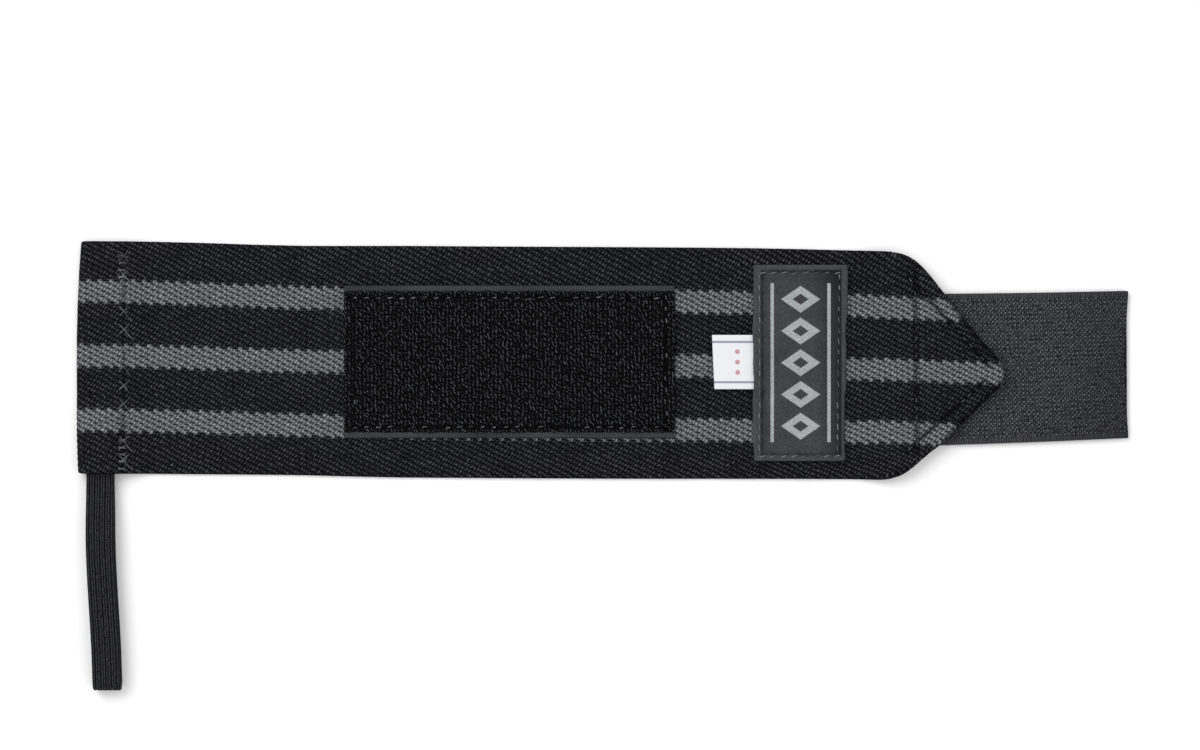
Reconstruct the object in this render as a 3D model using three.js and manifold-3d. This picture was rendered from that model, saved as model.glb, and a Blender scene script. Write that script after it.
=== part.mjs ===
// A weightlifter's wrist wrap, laid flat: a striped elastic band with a thumb loop in the hem at one end, and a
// folded point with a hook-and-loop tab at the other. A soft pile patch, a label and a ribbon tag are sewn on top.
// Millimetres, +Z up. The wrap lies along X with its tab towards +X, and its thumb loop reaches towards -Y.
import * as THREE from "three";
import { mergeVertices } from "three/addons/utils/BufferGeometryUtils.js";
import Module from "manifold-3d";

const wasm = await Module();
wasm.setup();

// Sewn pieces lie this far apart: face to face, as stitched cloth does.
const PLY_GAP = 0.3;

// The band, from its folded hem to the tip of its point.
const BAND_LENGTH = 305;
const BAND_WIDTH = 76.2;
const BAND_THICKNESS = 1.6;
const POINT_LENGTH = 41.4;
const TIP_FLAT = 0.45;
const SEAM_HALF_GAP = 0.25;

// The hem at the thumb-loop end.
const HEM_DEPTH = 16.5;
const HEM_BOW_UPPER = 1.5;
const HEM_BOW_LOWER = 0.7;
const HEM_BOW_REACH = 30;
const HEM_RAMP = 9;

// The thumb loop: one narrow elastic whose two ends are caught in the hem.
const STRAP_WIDTH = 9.5;
const STRAP_THICKNESS = 1.1;
const STRAP_INSET = 3.3;
const STRAP_TUCK = 14;
const LOOP_REACH = 71;
const LOOP_GAP = 5;
const LOOP_DRIFT = 2.3;
const LOWER_LEG_SETTLE = 15;
const UPPER_LEG_SETTLE = 22;
const BULGE_FADE = 11;
const BULGE_CLEARANCE = 0.5;

// The hook tab, sewn under the point with its hooks facing down.
const TAB_WIDTH = 50;
const TAB_REACH = 40.1;
const TAB_TUCK = 33.2;
const TAB_GROUND = 1;
const HOOK_HEIGHT = 1;
const TAB_SELVEDGE = 2.4;
const TAB_END_DIP = 1.3;
const TAB_DIP_REACH = 9;
const LIFT_RUN = 18.5;
const LIFT_LEAD = 1;
const FLAP_LENGTH = 38.7;

// The soft pile patch that the hooks grip.
const PATCH_LENGTH = 108.4;
const PATCH_WIDTH = 50.2;
const PATCH_FROM_LABEL = 25.8;
const PATCH_GROUND = 1;
const PILE_HEIGHT = 1.2;
const PATCH_SELVEDGE = 2.1;
const PILE_SLOPE = 0.3;

// The sewn label, and the ribbon tag caught under its edge.
const LABEL_WIDTH = 31;
const LABEL_LENGTH = 64.4;
const LABEL_THICKNESS = 1;
const LABEL_FROM_TIP = 52;
const LABEL_TAPER = 1.3;
const LABEL_CROWN = 0.6;
const TAG_WIDTH = 17.8;
const TAG_SHOWN = 13.2;
const TAG_TUCK = 4;
const TAG_THICKNESS = 1;
const TAG_CURL = 0.5;
const TAG_DROP = 0.2;
const LABEL_STEP = 3.2;

// Height of the patch's and the label's middle lines above the wrap's own middle line.
const PATCH_RISE = -0.3;
const LABEL_RISE = -0.6;

const FOLD_STEPS = 8;
const TIGHT_STEPS = 5;

// The band's run, from its hem to its tip. along is a share of BAND_LENGTH; middle, the height of the band's middle
// over the wrap's middle line, and width are shares of BAND_WIDTH.
const BAND_RUN = [
  { along: 0, middle: 0.015, width: 1 },
  { along: 0.08, middle: 0.013, width: 1 },
  { along: 0.24, middle: 0.002, width: 0.988 },
  { along: 0.35, middle: -0.003, width: 0.998 },
  { along: 0.56, middle: -0.0075, width: 0.998 },
  { along: 0.72, middle: -0.01, width: 0.994 },
  { along: 0.86, middle: -0.018, width: 0.985 },
  { along: 1, middle: -0.057, width: 0.985 },
];

// The folded point. along is a share of POINT_LENGTH from shoulder to tip; upper and lower are the shares of the
// band's half width that are left on each side, over the blunt tip.
const POINT_EDGE = [
  { along: 0, upper: 1, lower: 1 },
  { along: 0.08, upper: 0.997, lower: 0.985 },
  { along: 0.16, upper: 0.985, lower: 0.95 },
  { along: 0.24, upper: 0.955, lower: 0.89 },
  { along: 0.32, upper: 0.887, lower: 0.8 },
  { along: 0.4, upper: 0.79, lower: 0.714 },
  { along: 0.48, upper: 0.675, lower: 0.637 },
  { along: 0.56, upper: 0.57, lower: 0.545 },
  { along: 0.75, upper: 0.296, lower: 0.29 },
  { along: 0.94, upper: 0.068, lower: 0.068 },
  { along: 1, upper: 0, lower: 0 },
];

// The tab, from its end under the band to its free end. along is a share of its length; middle and width are
// shares of TAB_WIDTH.
const TAB_RUN = [
  { along: 0, middle: -0.062, width: 1 },
  { along: 0.2, middle: -0.056, width: 0.994 },
  { along: 0.6, middle: -0.042, width: 0.98 },
  { along: 1, middle: -0.023, width: 0.966 },
];

// Sizes that follow from the ones above.
const stackHeight = TAB_GROUND + HOOK_HEIGHT + PLY_GAP + BAND_THICKNESS + PLY_GAP;
const foldRadius = BAND_THICKNESS + PLY_GAP / 2;
const tipHalf = foldRadius + SEAM_HALF_GAP + TIP_FLAT;
const tabStart = BAND_LENGTH - TAB_TUCK;
const tabEnd = BAND_LENGTH + TAB_REACH;
const liftEnd = tabStart + LIFT_LEAD;
const liftStart = liftEnd - LIFT_RUN;
const flapStart = BAND_LENGTH - FLAP_LENGTH;
const shoulder = BAND_LENGTH - POINT_LENGTH;
const labelStart = BAND_LENGTH - LABEL_FROM_TIP - LABEL_WIDTH;
const patchStart = labelStart - PATCH_FROM_LABEL - PATCH_LENGTH;
const legStack = 2 * STRAP_THICKNESS + 3 * PLY_GAP;
const onBand = BAND_THICKNESS + PLY_GAP;

// Reads one column of a table at a share of the run, smoothly, with no overshoot between its rows.
function column(table, name, share) {
  const last = table.length - 1;
  if (share <= table[0].along) return table[0][name];
  if (share >= table[last].along) return table[last][name];
  const i = table.findIndex((row) => row.along > share) - 1;
  const slope = (k) => (table[k + 1][name] - table[k][name]) / (table[k + 1].along - table[k].along);
  const tangent = (k) => {
    if (k === 0) return slope(0);
    if (k === last) return slope(last - 1);
    const before = slope(k - 1);
    const after = slope(k);
    return before * after <= 0 ? 0 : (2 * before * after) / (before + after);
  };
  const run = table[i + 1].along - table[i].along;
  const t = (share - table[i].along) / run;
  const rise = (1 + 2 * t) * (1 - t) ** 2 * table[i][name] + t * t * (3 - 2 * t) * table[i + 1][name];
  return rise + run * (t * (1 - t) ** 2 * tangent(i) + t * t * (t - 1) * tangent(i + 1));
}

// 0 up to start, 1 from end on, and a smooth rise between.
function rise(value, start, end) {
  return THREE.MathUtils.smoothstep(value, start, end);
}

// count + 1 even steps from start to end.
function steps(start, end, count) {
  return Array.from({ length: count + 1 }, (_, i) => start + ((end - start) * i) / count);
}

// Height over the wrap's middle line of the band's own middle, and of its two edges.
function bandMiddle(x) {
  return BAND_WIDTH * column(BAND_RUN, "middle", x / BAND_LENGTH);
}

function bandHalf(x, side) {
  const full = (BAND_WIDTH / 2) * column(BAND_RUN, "width", x / BAND_LENGTH);
  if (x <= shoulder) return full;
  return tipHalf + (full - tipHalf) * column(POINT_EDGE, side, (x - shoulder) / POINT_LENGTH);
}

function upperEdge(x) {
  return bandMiddle(x) + bandHalf(x, "upper");
}

function lowerEdge(x) {
  return bandMiddle(x) - bandHalf(x, "lower");
}

// How far the band's underside is off the ground where it climbs onto its own folded corners and the tab.
function lift(x) {
  return stackHeight * rise(x, liftStart, liftEnd);
}

// The room between the hem's two plies at v, the share of the band's width from its lower edge.
function hemGap(v) {
  const fromEdge = v * BAND_WIDTH;
  const room = Math.max(legStack - PLY_GAP, 0);
  return PLY_GAP + room * (1 - rise(fromEdge, STRAP_TUCK + BULGE_CLEARANCE, STRAP_TUCK + BULGE_FADE));
}

// Height of the band's middle surface at x, on the side that faces up.
function topPly(x, v) {
  const loopSide = STRAP_INSET + STRAP_WIDTH + BULGE_CLEARANCE;
  const pinched = rise(x, loopSide, HEM_DEPTH - PLY_GAP);
  const gap = hemGap(v) + (PLY_GAP - hemGap(v)) * pinched;
  const onHem = (BAND_THICKNESS + gap) * (1 - rise(x, HEM_DEPTH, HEM_DEPTH + HEM_RAMP));
  return BAND_THICKNESS / 2 + onHem + lift(x);
}

// A closed body from a grid of points on a cloth's middle surface, given half its thickness to each side.
function clothBody(grid, thickness) {
  const rows = grid.length;
  const columns = grid[0].length;
  const point = (i, j) => grid[THREE.MathUtils.clamp(i, 0, rows - 1)][THREE.MathUtils.clamp(j, 0, columns - 1)];
  const positions = [];
  for (const side of [0.5, -0.5]) {
    for (let i = 0; i < rows; i++) {
      for (let j = 0; j < columns; j++) {
        const along = point(i + 1, j).clone().sub(point(i - 1, j));
        const across = point(i, j + 1).clone().sub(point(i, j - 1));
        const normal = along.cross(across).normalize();
        positions.push(...point(i, j).clone().addScaledVector(normal, side * thickness).toArray());
      }
    }
  }
  const at = (side, i, j) => side * rows * columns + i * columns + j;
  const faces = [];
  const quad = (a, b, c, d) => faces.push(a, b, c, a, c, d);
  for (let i = 0; i < rows - 1; i++) {
    for (let j = 0; j < columns - 1; j++) {
      quad(at(0, i, j), at(0, i + 1, j), at(0, i + 1, j + 1), at(0, i, j + 1));
      quad(at(1, i, j), at(1, i, j + 1), at(1, i + 1, j + 1), at(1, i + 1, j));
    }
    quad(at(0, i, 0), at(1, i, 0), at(1, i + 1, 0), at(0, i + 1, 0));
    quad(at(0, i, columns - 1), at(0, i + 1, columns - 1), at(1, i + 1, columns - 1), at(1, i, columns - 1));
  }
  for (let j = 0; j < columns - 1; j++) {
    quad(at(0, 0, j), at(0, 0, j + 1), at(1, 0, j + 1), at(1, 0, j));
    quad(at(0, rows - 1, j), at(1, rows - 1, j), at(1, rows - 1, j + 1), at(0, rows - 1, j + 1));
  }
  return meshFrom(positions, faces);
}

// A closed body through sections across X. Each has an outer and an inner chain of points, equally many.
function loftedBody(sections) {
  const chain = sections[0].outer.length;
  const count = 2 * chain;
  const rings = sections.map(({ outer, inner }) => [...outer, ...inner.slice().reverse()]);
  const positions = rings.flat().flatMap((p) => p.toArray());
  const faces = [];
  const quad = (a, b, c, d) => faces.push(a, b, c, a, c, d);
  for (let i = 0; i < rings.length - 1; i++) {
    for (let j = 0; j < count; j++) {
      const a = i * count + j;
      const b = i * count + ((j + 1) % count);
      quad(a, b, b + count, a + count);
    }
  }
  const last = (rings.length - 1) * count;
  for (let j = 0; j < chain - 1; j++) {
    const [a, b, c, d] = [j, j + 1, count - 2 - j, count - 1 - j];
    quad(a, d, c, b);
    quad(last + a, last + b, last + c, last + d);
  }
  return meshFrom(positions, faces);
}

function meshFrom(positions, faces) {
  const geometry = new THREE.BufferGeometry();
  geometry.setAttribute("position", new THREE.Float32BufferAttribute(positions, 3));
  geometry.setIndex(faces);
  return geometry;
}

// Joins two closed bodies into one.
function joined(first, second) {
  const solid = (geometry) => {
    const merged = mergeVertices(geometry, 1e-4);
    return new wasm.Manifold(
      new wasm.Mesh({
        numProp: 3,
        vertProperties: merged.attributes.position.array,
        triVerts: new Uint32Array(merged.index.array),
      }),
    );
  };
  const made = solid(first).add(solid(second)).getMesh();
  return meshFrom(Array.from(made.vertProperties), Array.from(made.triVerts));
}

function piece(name, geometry, color, roughness) {
  const shape = geometry.index ? geometry.toNonIndexed() : geometry;
  shape.computeVertexNormals();
  const mesh = new THREE.Mesh(shape, new THREE.MeshStandardMaterial({ color, roughness, metalness: 0 }));
  mesh.name = name;
  return mesh;
}

// The band's single ply: under the hem, round the fold, back over it and on to where the corners are folded.
function bandPly() {
  const fullTuck = (STRAP_TUCK + BULGE_FADE) / BAND_WIDTH;
  const across = [...steps(0, fullTuck, 7), ...steps(fullTuck, 1, 5).slice(1)];
  const hemEnd = HEM_DEPTH;
  const path = (v) => {
    const bend = (BAND_THICKNESS + hemGap(v)) / 2;
    const start = bend + BAND_THICKNESS / 2;
    const under = steps(hemEnd, start, 2).map((x) => [x, BAND_THICKNESS / 2]);
    const fold = steps(0, Math.PI, FOLD_STEPS).map((angle) => [
      start - bend * Math.sin(angle),
      BAND_THICKNESS / 2 + bend * (1 - Math.cos(angle)),
    ]);
    const over = [
      ...steps(start, hemEnd, 8).slice(1),
      ...steps(hemEnd, hemEnd + HEM_RAMP, 7).slice(1),
      ...steps(hemEnd + HEM_RAMP, liftStart, 14).slice(1),
      ...steps(liftStart, flapStart, 7).slice(1),
      flapStart + SEAM_HALF_GAP,
    ];
    return [...under, ...fold.slice(1), ...over.map((x) => [x, topPly(x, v)])];
  };
  const bow = (x, v) => {
    const fromMiddle = 2 * v - 1;
    const depth = fromMiddle > 0 ? HEM_BOW_UPPER : HEM_BOW_LOWER;
    return depth * fromMiddle ** 2 * (1 - rise(x, 0, HEM_BOW_REACH));
  };
  const lanes = across.map((v) =>
    path(v).map(([x, z]) => new THREE.Vector3(x + bow(x, v), THREE.MathUtils.lerp(lowerEdge(x), upperEdge(x), v), z)),
  );
  const grid = lanes[0].map((_, i) => lanes.map((lane) => lane[i]));
  return clothBody(grid, BAND_THICKNESS);
}

// The point: the ply with its two corners folded under it, so that they meet along the middle.
function foldedPoint() {
  const stations = [
    ...steps(flapStart, liftEnd, 6),
    ...steps(liftEnd, shoulder + 0.6 * POINT_LENGTH, 7).slice(1),
    ...steps(shoulder + 0.6 * POINT_LENGTH, BAND_LENGTH, 6).slice(1),
  ];
  const sections = stations.map((x) => {
    const under = lift(x);
    const flapTop = under - PLY_GAP;
    const flapUnder = flapTop - BAND_THICKNESS;
    const seam = bandMiddle(x);
    const upper = upperEdge(x) - foldRadius;
    const lower = lowerEdge(x) + foldRadius;
    const round = (y, side, radius) =>
      steps(-Math.PI / 2, Math.PI / 2, TIGHT_STEPS).map((angle) => [
        y + side * radius * Math.cos(angle),
        under - PLY_GAP / 2 + radius * Math.sin(angle),
      ]);
    const placed = (points) => points.map(([y, z]) => new THREE.Vector3(x, y, z));
    const outer = [
      [seam + SEAM_HALF_GAP, flapUnder],
      ...round(upper, 1, foldRadius),
      ...round(lower, -1, foldRadius).reverse(),
      [seam - SEAM_HALF_GAP, flapUnder],
    ];
    const inner = [
      [seam + SEAM_HALF_GAP, flapTop],
      ...round(upper, 1, PLY_GAP / 2),
      ...round(lower, -1, PLY_GAP / 2).reverse(),
      [seam - SEAM_HALF_GAP, flapTop],
    ];
    return { outer: placed(outer), inner: placed(inner) };
  });
  return loftedBody(sections);
}

function elasticBand() {
  return piece("elastic_band", joined(bandPly(), foldedPoint()), 0x232426, 0.9);
}

// The thumb loop runs out of the hem, along the ground, round its end and back above itself into the hem.
function thumbLoop() {
  const ground = STRAP_THICKNESS / 2;
  const lowerStart = onBand + STRAP_THICKNESS / 2;
  const upperStart = lowerStart + STRAP_THICKNESS + PLY_GAP;
  const bend = (LOOP_GAP + STRAP_THICKNESS) / 2;
  const bendCentre = LOOP_REACH - STRAP_THICKNESS / 2 - bend;
  const legs = (start, end, settle) => (reach) => start + (end - start) * rise(reach, PLY_GAP, settle);
  const lowerLeg = legs(lowerStart, ground, LOWER_LEG_SETTLE);
  const upperLeg = legs(upperStart, ground + 2 * bend, UPPER_LEG_SETTLE);
  const stops = (settle) => [
    ...steps(-STRAP_TUCK, PLY_GAP, 3),
    ...steps(PLY_GAP, settle, 9).slice(1),
    ...steps(settle, bendCentre, 5).slice(1),
  ];
  const path = [
    ...stops(LOWER_LEG_SETTLE).map((reach) => [reach, lowerLeg(reach)]),
    ...steps(0, Math.PI, 12).slice(1).map((angle) => [
      bendCentre + bend * Math.sin(angle),
      ground + bend * (1 - Math.cos(angle)),
    ]),
    ...stops(UPPER_LEG_SETTLE).reverse().slice(1).map((reach) => [reach, upperLeg(reach)]),
  ];
  const left = STRAP_INSET;
  const edge = lowerEdge(left + STRAP_WIDTH / 2);
  const grid = path.map(([reach, z]) => {
    const drift = LOOP_DRIFT * rise(reach, LOOP_REACH * 0.25, LOOP_REACH);
    return [1, 0.5, 0].map((share) => new THREE.Vector3(left + drift + share * STRAP_WIDTH, edge - reach, z));
  });
  return piece("thumb_loop", clothBody(grid, STRAP_THICKNESS), 0x262728, 0.85);
}

// The tab: a woven ground with plain selvedges, and between them the block of its hooks, facing down.
function hookTab() {
  const length = tabEnd - tabStart;
  const top = HOOK_HEIGHT + TAB_GROUND;
  const stations = [...steps(0, length - TAB_DIP_REACH, 6), ...steps(length - TAB_DIP_REACH, length, 4).slice(1)];
  const sections = stations.map((reach) => {
    const middle = TAB_WIDTH * column(TAB_RUN, "middle", reach / length);
    const half = (TAB_WIDTH / 2) * column(TAB_RUN, "width", reach / length);
    const field = half - TAB_SELVEDGE;
    const placed = ([y, z]) => {
      const dip = TAB_END_DIP * (1 - (y / half) ** 2) * rise(reach, length - TAB_DIP_REACH, length);
      return new THREE.Vector3(tabStart + reach - dip, middle + y, z);
    };
    const under = [
      ...[-half, -field].map((y) => [y, HOOK_HEIGHT]),
      ...steps(-field, field, 6).map((y) => [y, 0]),
      ...[field, half].map((y) => [y, HOOK_HEIGHT]),
    ];
    const over = steps(-half, half, under.length - 1).map((y) => [y, top]);
    return { outer: under.map(placed), inner: over.map(placed) };
  });
  return piece("hook_tab", loftedBody(sections), 0x3a3b3d, 0.7);
}

// The patch: a woven ground whose two selvedges show, with its pile between them.
function loopPatch() {
  const half = PATCH_WIDTH / 2;
  const pile = half - PATCH_SELVEDGE;
  const outline = new THREE.Shape([
    new THREE.Vector2(-half, 0),
    new THREE.Vector2(half, 0),
    new THREE.Vector2(half, PATCH_GROUND),
    new THREE.Vector2(pile, PATCH_GROUND),
    new THREE.Vector2(pile - PILE_SLOPE, PATCH_GROUND + PILE_HEIGHT),
    new THREE.Vector2(PILE_SLOPE - pile, PATCH_GROUND + PILE_HEIGHT),
    new THREE.Vector2(-pile, PATCH_GROUND),
    new THREE.Vector2(-half, PATCH_GROUND),
  ]);
  const body = new THREE.ExtrudeGeometry(outline, { depth: PATCH_LENGTH, bevelEnabled: false });
  const mesh = piece("loop_patch", body, 0x161617, 0.95);
  mesh.rotation.set(Math.PI / 2, Math.PI / 2, 0);
  mesh.position.set(patchStart, PATCH_RISE, onBand);
  return mesh;
}

// The label: a thin patch that puffs up inside its line of stitches and steps over the tag at its edge.
function sewnLabel() {
  const middle = onBand + LABEL_THICKNESS / 2;
  const overTag = TAG_THICKNESS + PLY_GAP;
  const grid = steps(0, 1, 14).map((share) => {
    const lane = [];
    for (const up of steps(0, 1, 22)) {
      const width = LABEL_WIDTH - LABEL_TAPER * (1 - up);
      const x = share * width;
      const y = LABEL_RISE + (up - 0.5) * LABEL_LENGTH;
      const puff = Math.sin(Math.PI * share) * Math.sin(Math.PI * up);
      const besideTag = Math.abs(y - LABEL_RISE - TAG_DROP);
      const stepUp = (1 - rise(x, TAG_TUCK + PLY_GAP, TAG_TUCK + PLY_GAP + LABEL_STEP))
        * (1 - rise(besideTag, TAG_WIDTH / 2 + PLY_GAP, TAG_WIDTH / 2 + PLY_GAP + LABEL_STEP));
      const z = middle + LABEL_CROWN * Math.sqrt(puff) * (1 - stepUp) + overTag * stepUp;
      lane.push(new THREE.Vector3(labelStart + x, y, z));
    }
    return lane;
  });
  return piece("sewn_label", clothBody(grid, LABEL_THICKNESS), 0x3f4042, 0.6);
}

// The tag: a folded white ribbon whose free end curls up a little off the band.
function ribbonTag() {
  const free = labelStart - TAG_SHOWN;
  const grid = steps(free, labelStart + TAG_TUCK, 8).map((x) =>
    steps(-TAG_WIDTH / 2, TAG_WIDTH / 2, 3).map((y) => {
      const curl = TAG_CURL * (1 - rise(x, free, labelStart));
      return new THREE.Vector3(x, LABEL_RISE + TAG_DROP + y, onBand + TAG_THICKNESS / 2 + curl);
    }),
  );
  return piece("ribbon_tag", clothBody(grid, TAG_THICKNESS), 0xe8e8ea, 0.55);
}

// The origin is the centre of the wrap's footprint, on the ground.
const wrap = new THREE.Group();
wrap.add(elasticBand(), thumbLoop(), hookTab(), loopPatch(), sewnLabel(), ribbonTag());
const footprint = new THREE.Box3().setFromObject(wrap);
const centre = footprint.getCenter(new THREE.Vector3());
wrap.position.set(-centre.x, -centre.y, -footprint.min.z);

export default wrap;
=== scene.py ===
# %% [markdown]
# A weightlifter's wrist wrap lies flat, seen from straight above: a striped elastic band with a thumb loop
# at one end, a hook tab at the other, and a pile patch, a label and a ribbon tag sewn on top. The solids
# already hold every size and place, so this lesson asks them where their surfaces are, and lays finer cloth,
# yarn and thread over them. Lengths are in millimetres until a mesh is made, because cloth is easier to
# picture that way.

import math

import bmesh
import bpy
import numpy as np
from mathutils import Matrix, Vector
from mathutils.bvhtree import BVHTree


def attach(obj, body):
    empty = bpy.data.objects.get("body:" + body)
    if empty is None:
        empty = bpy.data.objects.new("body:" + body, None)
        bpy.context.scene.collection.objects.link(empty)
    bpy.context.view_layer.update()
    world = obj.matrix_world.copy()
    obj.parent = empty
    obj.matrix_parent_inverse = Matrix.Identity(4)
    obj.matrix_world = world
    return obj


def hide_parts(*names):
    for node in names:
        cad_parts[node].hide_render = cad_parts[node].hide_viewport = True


MM = 0.001
TURN = 2 * math.pi

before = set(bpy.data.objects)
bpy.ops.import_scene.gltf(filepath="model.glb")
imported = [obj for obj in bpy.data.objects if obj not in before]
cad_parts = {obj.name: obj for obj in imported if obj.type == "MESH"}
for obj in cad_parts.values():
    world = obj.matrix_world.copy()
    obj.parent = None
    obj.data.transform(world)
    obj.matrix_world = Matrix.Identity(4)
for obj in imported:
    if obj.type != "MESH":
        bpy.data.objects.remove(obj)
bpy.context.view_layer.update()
print("solids:", sorted(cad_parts))

# %% [markdown]
# The camera looks straight down, as in the photograph. A long lens keeps the view nearly flat, and the
# photograph's scale, known from the webbing's standard width, sets its height over the floor.

# %% Camera
PHOTO_SIZE = (1200, 750)
PIXELS_PER_MM = 3.045
OBJECT_CENTRE_PX = (602.5, 465.5)
LENS = 135
FARTHEST_SEEN = 20


def photo_to_part(px, py):
    """A place in the part's own frame, in millimetres, for a pixel of the photograph."""
    return ((px - OBJECT_CENTRE_PX[0]) / PIXELS_PER_MM, (OBJECT_CENTRE_PX[1] - py) / PIXELS_PER_MM)


def add_object(name, data):
    made = bpy.data.objects.new(name, data)
    bpy.context.collection.objects.link(made)
    return made


seen_width = PHOTO_SIZE[0] / PIXELS_PER_MM
camera_data = bpy.data.cameras.new("camera")
camera_data.lens = LENS
camera_data.clip_end = FARTHEST_SEEN
camera = add_object("camera", camera_data)
height = seen_width * LENS / camera_data.sensor_width
camera.location = Vector((*photo_to_part(PHOTO_SIZE[0] / 2, PHOTO_SIZE[1] / 2), height)) * MM
bpy.context.scene.camera = camera
print("camera", round(height), "mm up, seeing", round(seen_width), "mm of floor")

# %% [markdown]
# Plain studio light: a white sky fills every fold, and a large soft lamp from the upper left gives each
# grain of the weave a light side and a dark side. Each lamp has its place and size in metres and its power
# in watts. Blender's standard view transform keeps white white.

# %% Light
SKY_STRENGTH = 0.82
LAMPS = {
    "key_lamp": ((-0.75, 0.75, 1.15), 1.1, 13.5),
    "fill_lamp": ((0.9, -0.5, 1.3), 1.3, 3.5),
}

bpy.context.scene.view_settings.view_transform = "Standard"
world = bpy.data.worlds.new("sky")
world.use_nodes = True
world.node_tree.nodes["Background"].inputs["Color"].default_value = (1, 1, 1, 1)
world.node_tree.nodes["Background"].inputs["Strength"].default_value = SKY_STRENGTH
bpy.context.scene.world = world
for name, (place, size, power) in LAMPS.items():
    lamp_data = bpy.data.lights.new(name, "AREA")
    lamp_data.size = size
    lamp_data.energy = power
    lamp = add_object(name, lamp_data)
    lamp.location = place
    lamp.rotation_euler = (-Vector(place)).to_track_quat("-Z", "Y").to_euler()
print("lamps:", list(LAMPS))

# %% [markdown]
# Node maths reads best as a plain sum. A Wire is one value that runs through a node tree, and each operator
# on it adds the Math node that does that step, so a weave can be written as a formula.

# %% Wires
def operator(operation):
    """A method that adds the Math node of one operation."""
    return lambda wire, *others: wire.step(operation, *others)


class Wire:
    def __init__(self, nodes, socket):
        self.nodes = nodes
        self.socket = socket

    def step(self, operation, *others):
        sockets = dict(enumerate((self, *others)))
        return Wire(self.nodes, self.nodes.add("ShaderNodeMath", sockets, operation=operation)[0])

    __add__ = __radd__ = operator("ADD")
    __sub__ = operator("SUBTRACT")
    __mul__ = __rmul__ = operator("MULTIPLY")
    __truediv__ = operator("DIVIDE")
    __gt__ = operator("GREATER_THAN")
    __lt__ = operator("LESS_THAN")
    __abs__ = operator("ABSOLUTE")
    sign = operator("SIGN")
    sine = operator("SINE")
    least = operator("MINIMUM")
    most = operator("MAXIMUM")

    def __rsub__(self, other):
        return self * -1 + other

    def clamped(self):
        return self.least(1).most(0)

    def root(self):
        return self.clamped().step("SQRT")

    def rounded(self):
        return (self + 0.5).step("FLOOR")

    def nearest(self, pitch, count=math.inf):
        """The nearest multiple of the pitch, no further than count of them to either side."""
        whole = (self / pitch).rounded()
        if count < math.inf:
            whole = whole.least(count).most(-count)
        return whole * pitch

    def wave(self, pitch, phase=0.0):
        """A sine wave of that length, from -1 to 1."""
        return (self * (TURN / pitch) + phase).sine()

    def ramp(self, start, end):
        """0 at start, 1 at end, and straight between."""
        return ((self - start) * (1 / (end - start))).clamped()


print("wires ready")

# %% [markdown]
# Nodes is a node tree with one method that adds any node, from what its sockets take and its settings. A
# Finish is one material made that way, with short names for what a cloth's finish asks for.

# %% Finishes
class Nodes:
    def add(self, kind, sockets=None, **settings):
        """Adds a node and returns its outputs. The settings come first, since they can change the sockets."""
        node = self.tree.nodes.new(kind)
        for setting, value in settings.items():
            setattr(node, setting, value)
        for key, value in (sockets or {}).items():
            self.plug(self.pick(node.inputs, key), value)
        return node.outputs

    @staticmethod
    def pick(sockets, key):
        """A socket by its number or its identifier."""
        return sockets[key] if isinstance(key, int) else next(s for s in sockets if s.identifier == key)

    def plug(self, socket, value):
        value = value.socket if isinstance(value, Wire) else value
        if isinstance(value, bpy.types.NodeSocket):
            self.tree.links.new(value, socket)
        else:
            socket.default_value = value


class Finish(Nodes):
    def __init__(self, name, roughness, specular):
        self.material = bpy.data.materials.new(name)
        self.material.use_nodes = True
        self.tree = self.material.node_tree
        self.shader = self.tree.nodes["Principled BSDF"].inputs
        self.shader["Roughness"].default_value = roughness
        self.shader["Specular IOR Level"].default_value = specular

    def split(self, vector):
        return [Wire(self, output) for output in self.add("ShaderNodeSeparateXYZ", {0: vector})]

    def cloth(self):
        """Place on the cloth, along it and across it, in millimetres."""
        parts = self.split(self.add("ShaderNodeUVMap", uv_map="cloth")[0])
        return [part * (1 / MM) for part in parts[:2]]

    def place(self):
        """Place in the part's frame, in millimetres."""
        return [part * (1 / MM) for part in self.split(self.add("ShaderNodeTexCoord")["Object"])]

    def facing_flat(self, start, end):
        """1 where the surface faces straight up or down and 0 where it turns round a rim."""
        return abs(self.split(self.add("ShaderNodeNewGeometry")["Normal"])[2]).ramp(start, end)

    def crease_shade(self):
        """How much painted shade a seam or rim puts on the cloth, from 0 to 1, as its mesh stores it."""
        return Wire(self, self.add("ShaderNodeAttribute", attribute_name="crease_shade")["Fac"])

    def noise(self, u, v, size, detail, seed):
        """Soft random values from about -0.5 to 0.5, in blobs of that size in millimetres."""
        place = self.add("ShaderNodeCombineXYZ", {0: u, 1: v, 2: seed})[0]
        sockets = {"Vector": place, "Scale": 1 / size, "Detail": detail}
        return Wire(self, self.add("ShaderNodeTexNoise", sockets)[0]) - 0.5

    def dice(self, u, v, seed):
        """One random value from 0 to 1 for each pair of whole numbers."""
        place = self.add("ShaderNodeCombineXYZ", {0: u, 1: v, 2: seed})[0]
        return Wire(self, self.add("ShaderNodeTexWhiteNoise", {"Vector": place}, noise_dimensions="3D")[0])

    def mix(self, share, first, second):
        """A colour between two, each an sRGB colour from 0 to 255 or a colour's socket."""
        sockets = {"Factor_Float": share, "A_Color": linear(first), "B_Color": linear(second)}
        return self.pick(self.add("ShaderNodeMix", sockets, data_type="RGBA"), "Result_Color")

    def paint(self, colour, height=None, depth=1.0):
        """Plugs in the colour, and a bump whose height of 1 stands depth millimetres tall."""
        self.plug(self.shader["Base Color"], colour)
        if height is not None:
            bump = self.add("ShaderNodeBump", {"Distance": depth * MM, "Height": height})[0]
            self.plug(self.shader["Normal"], bump)
        print(self.material.name, "is painted with", len(self.tree.nodes), "nodes")
        return self.material


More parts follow.
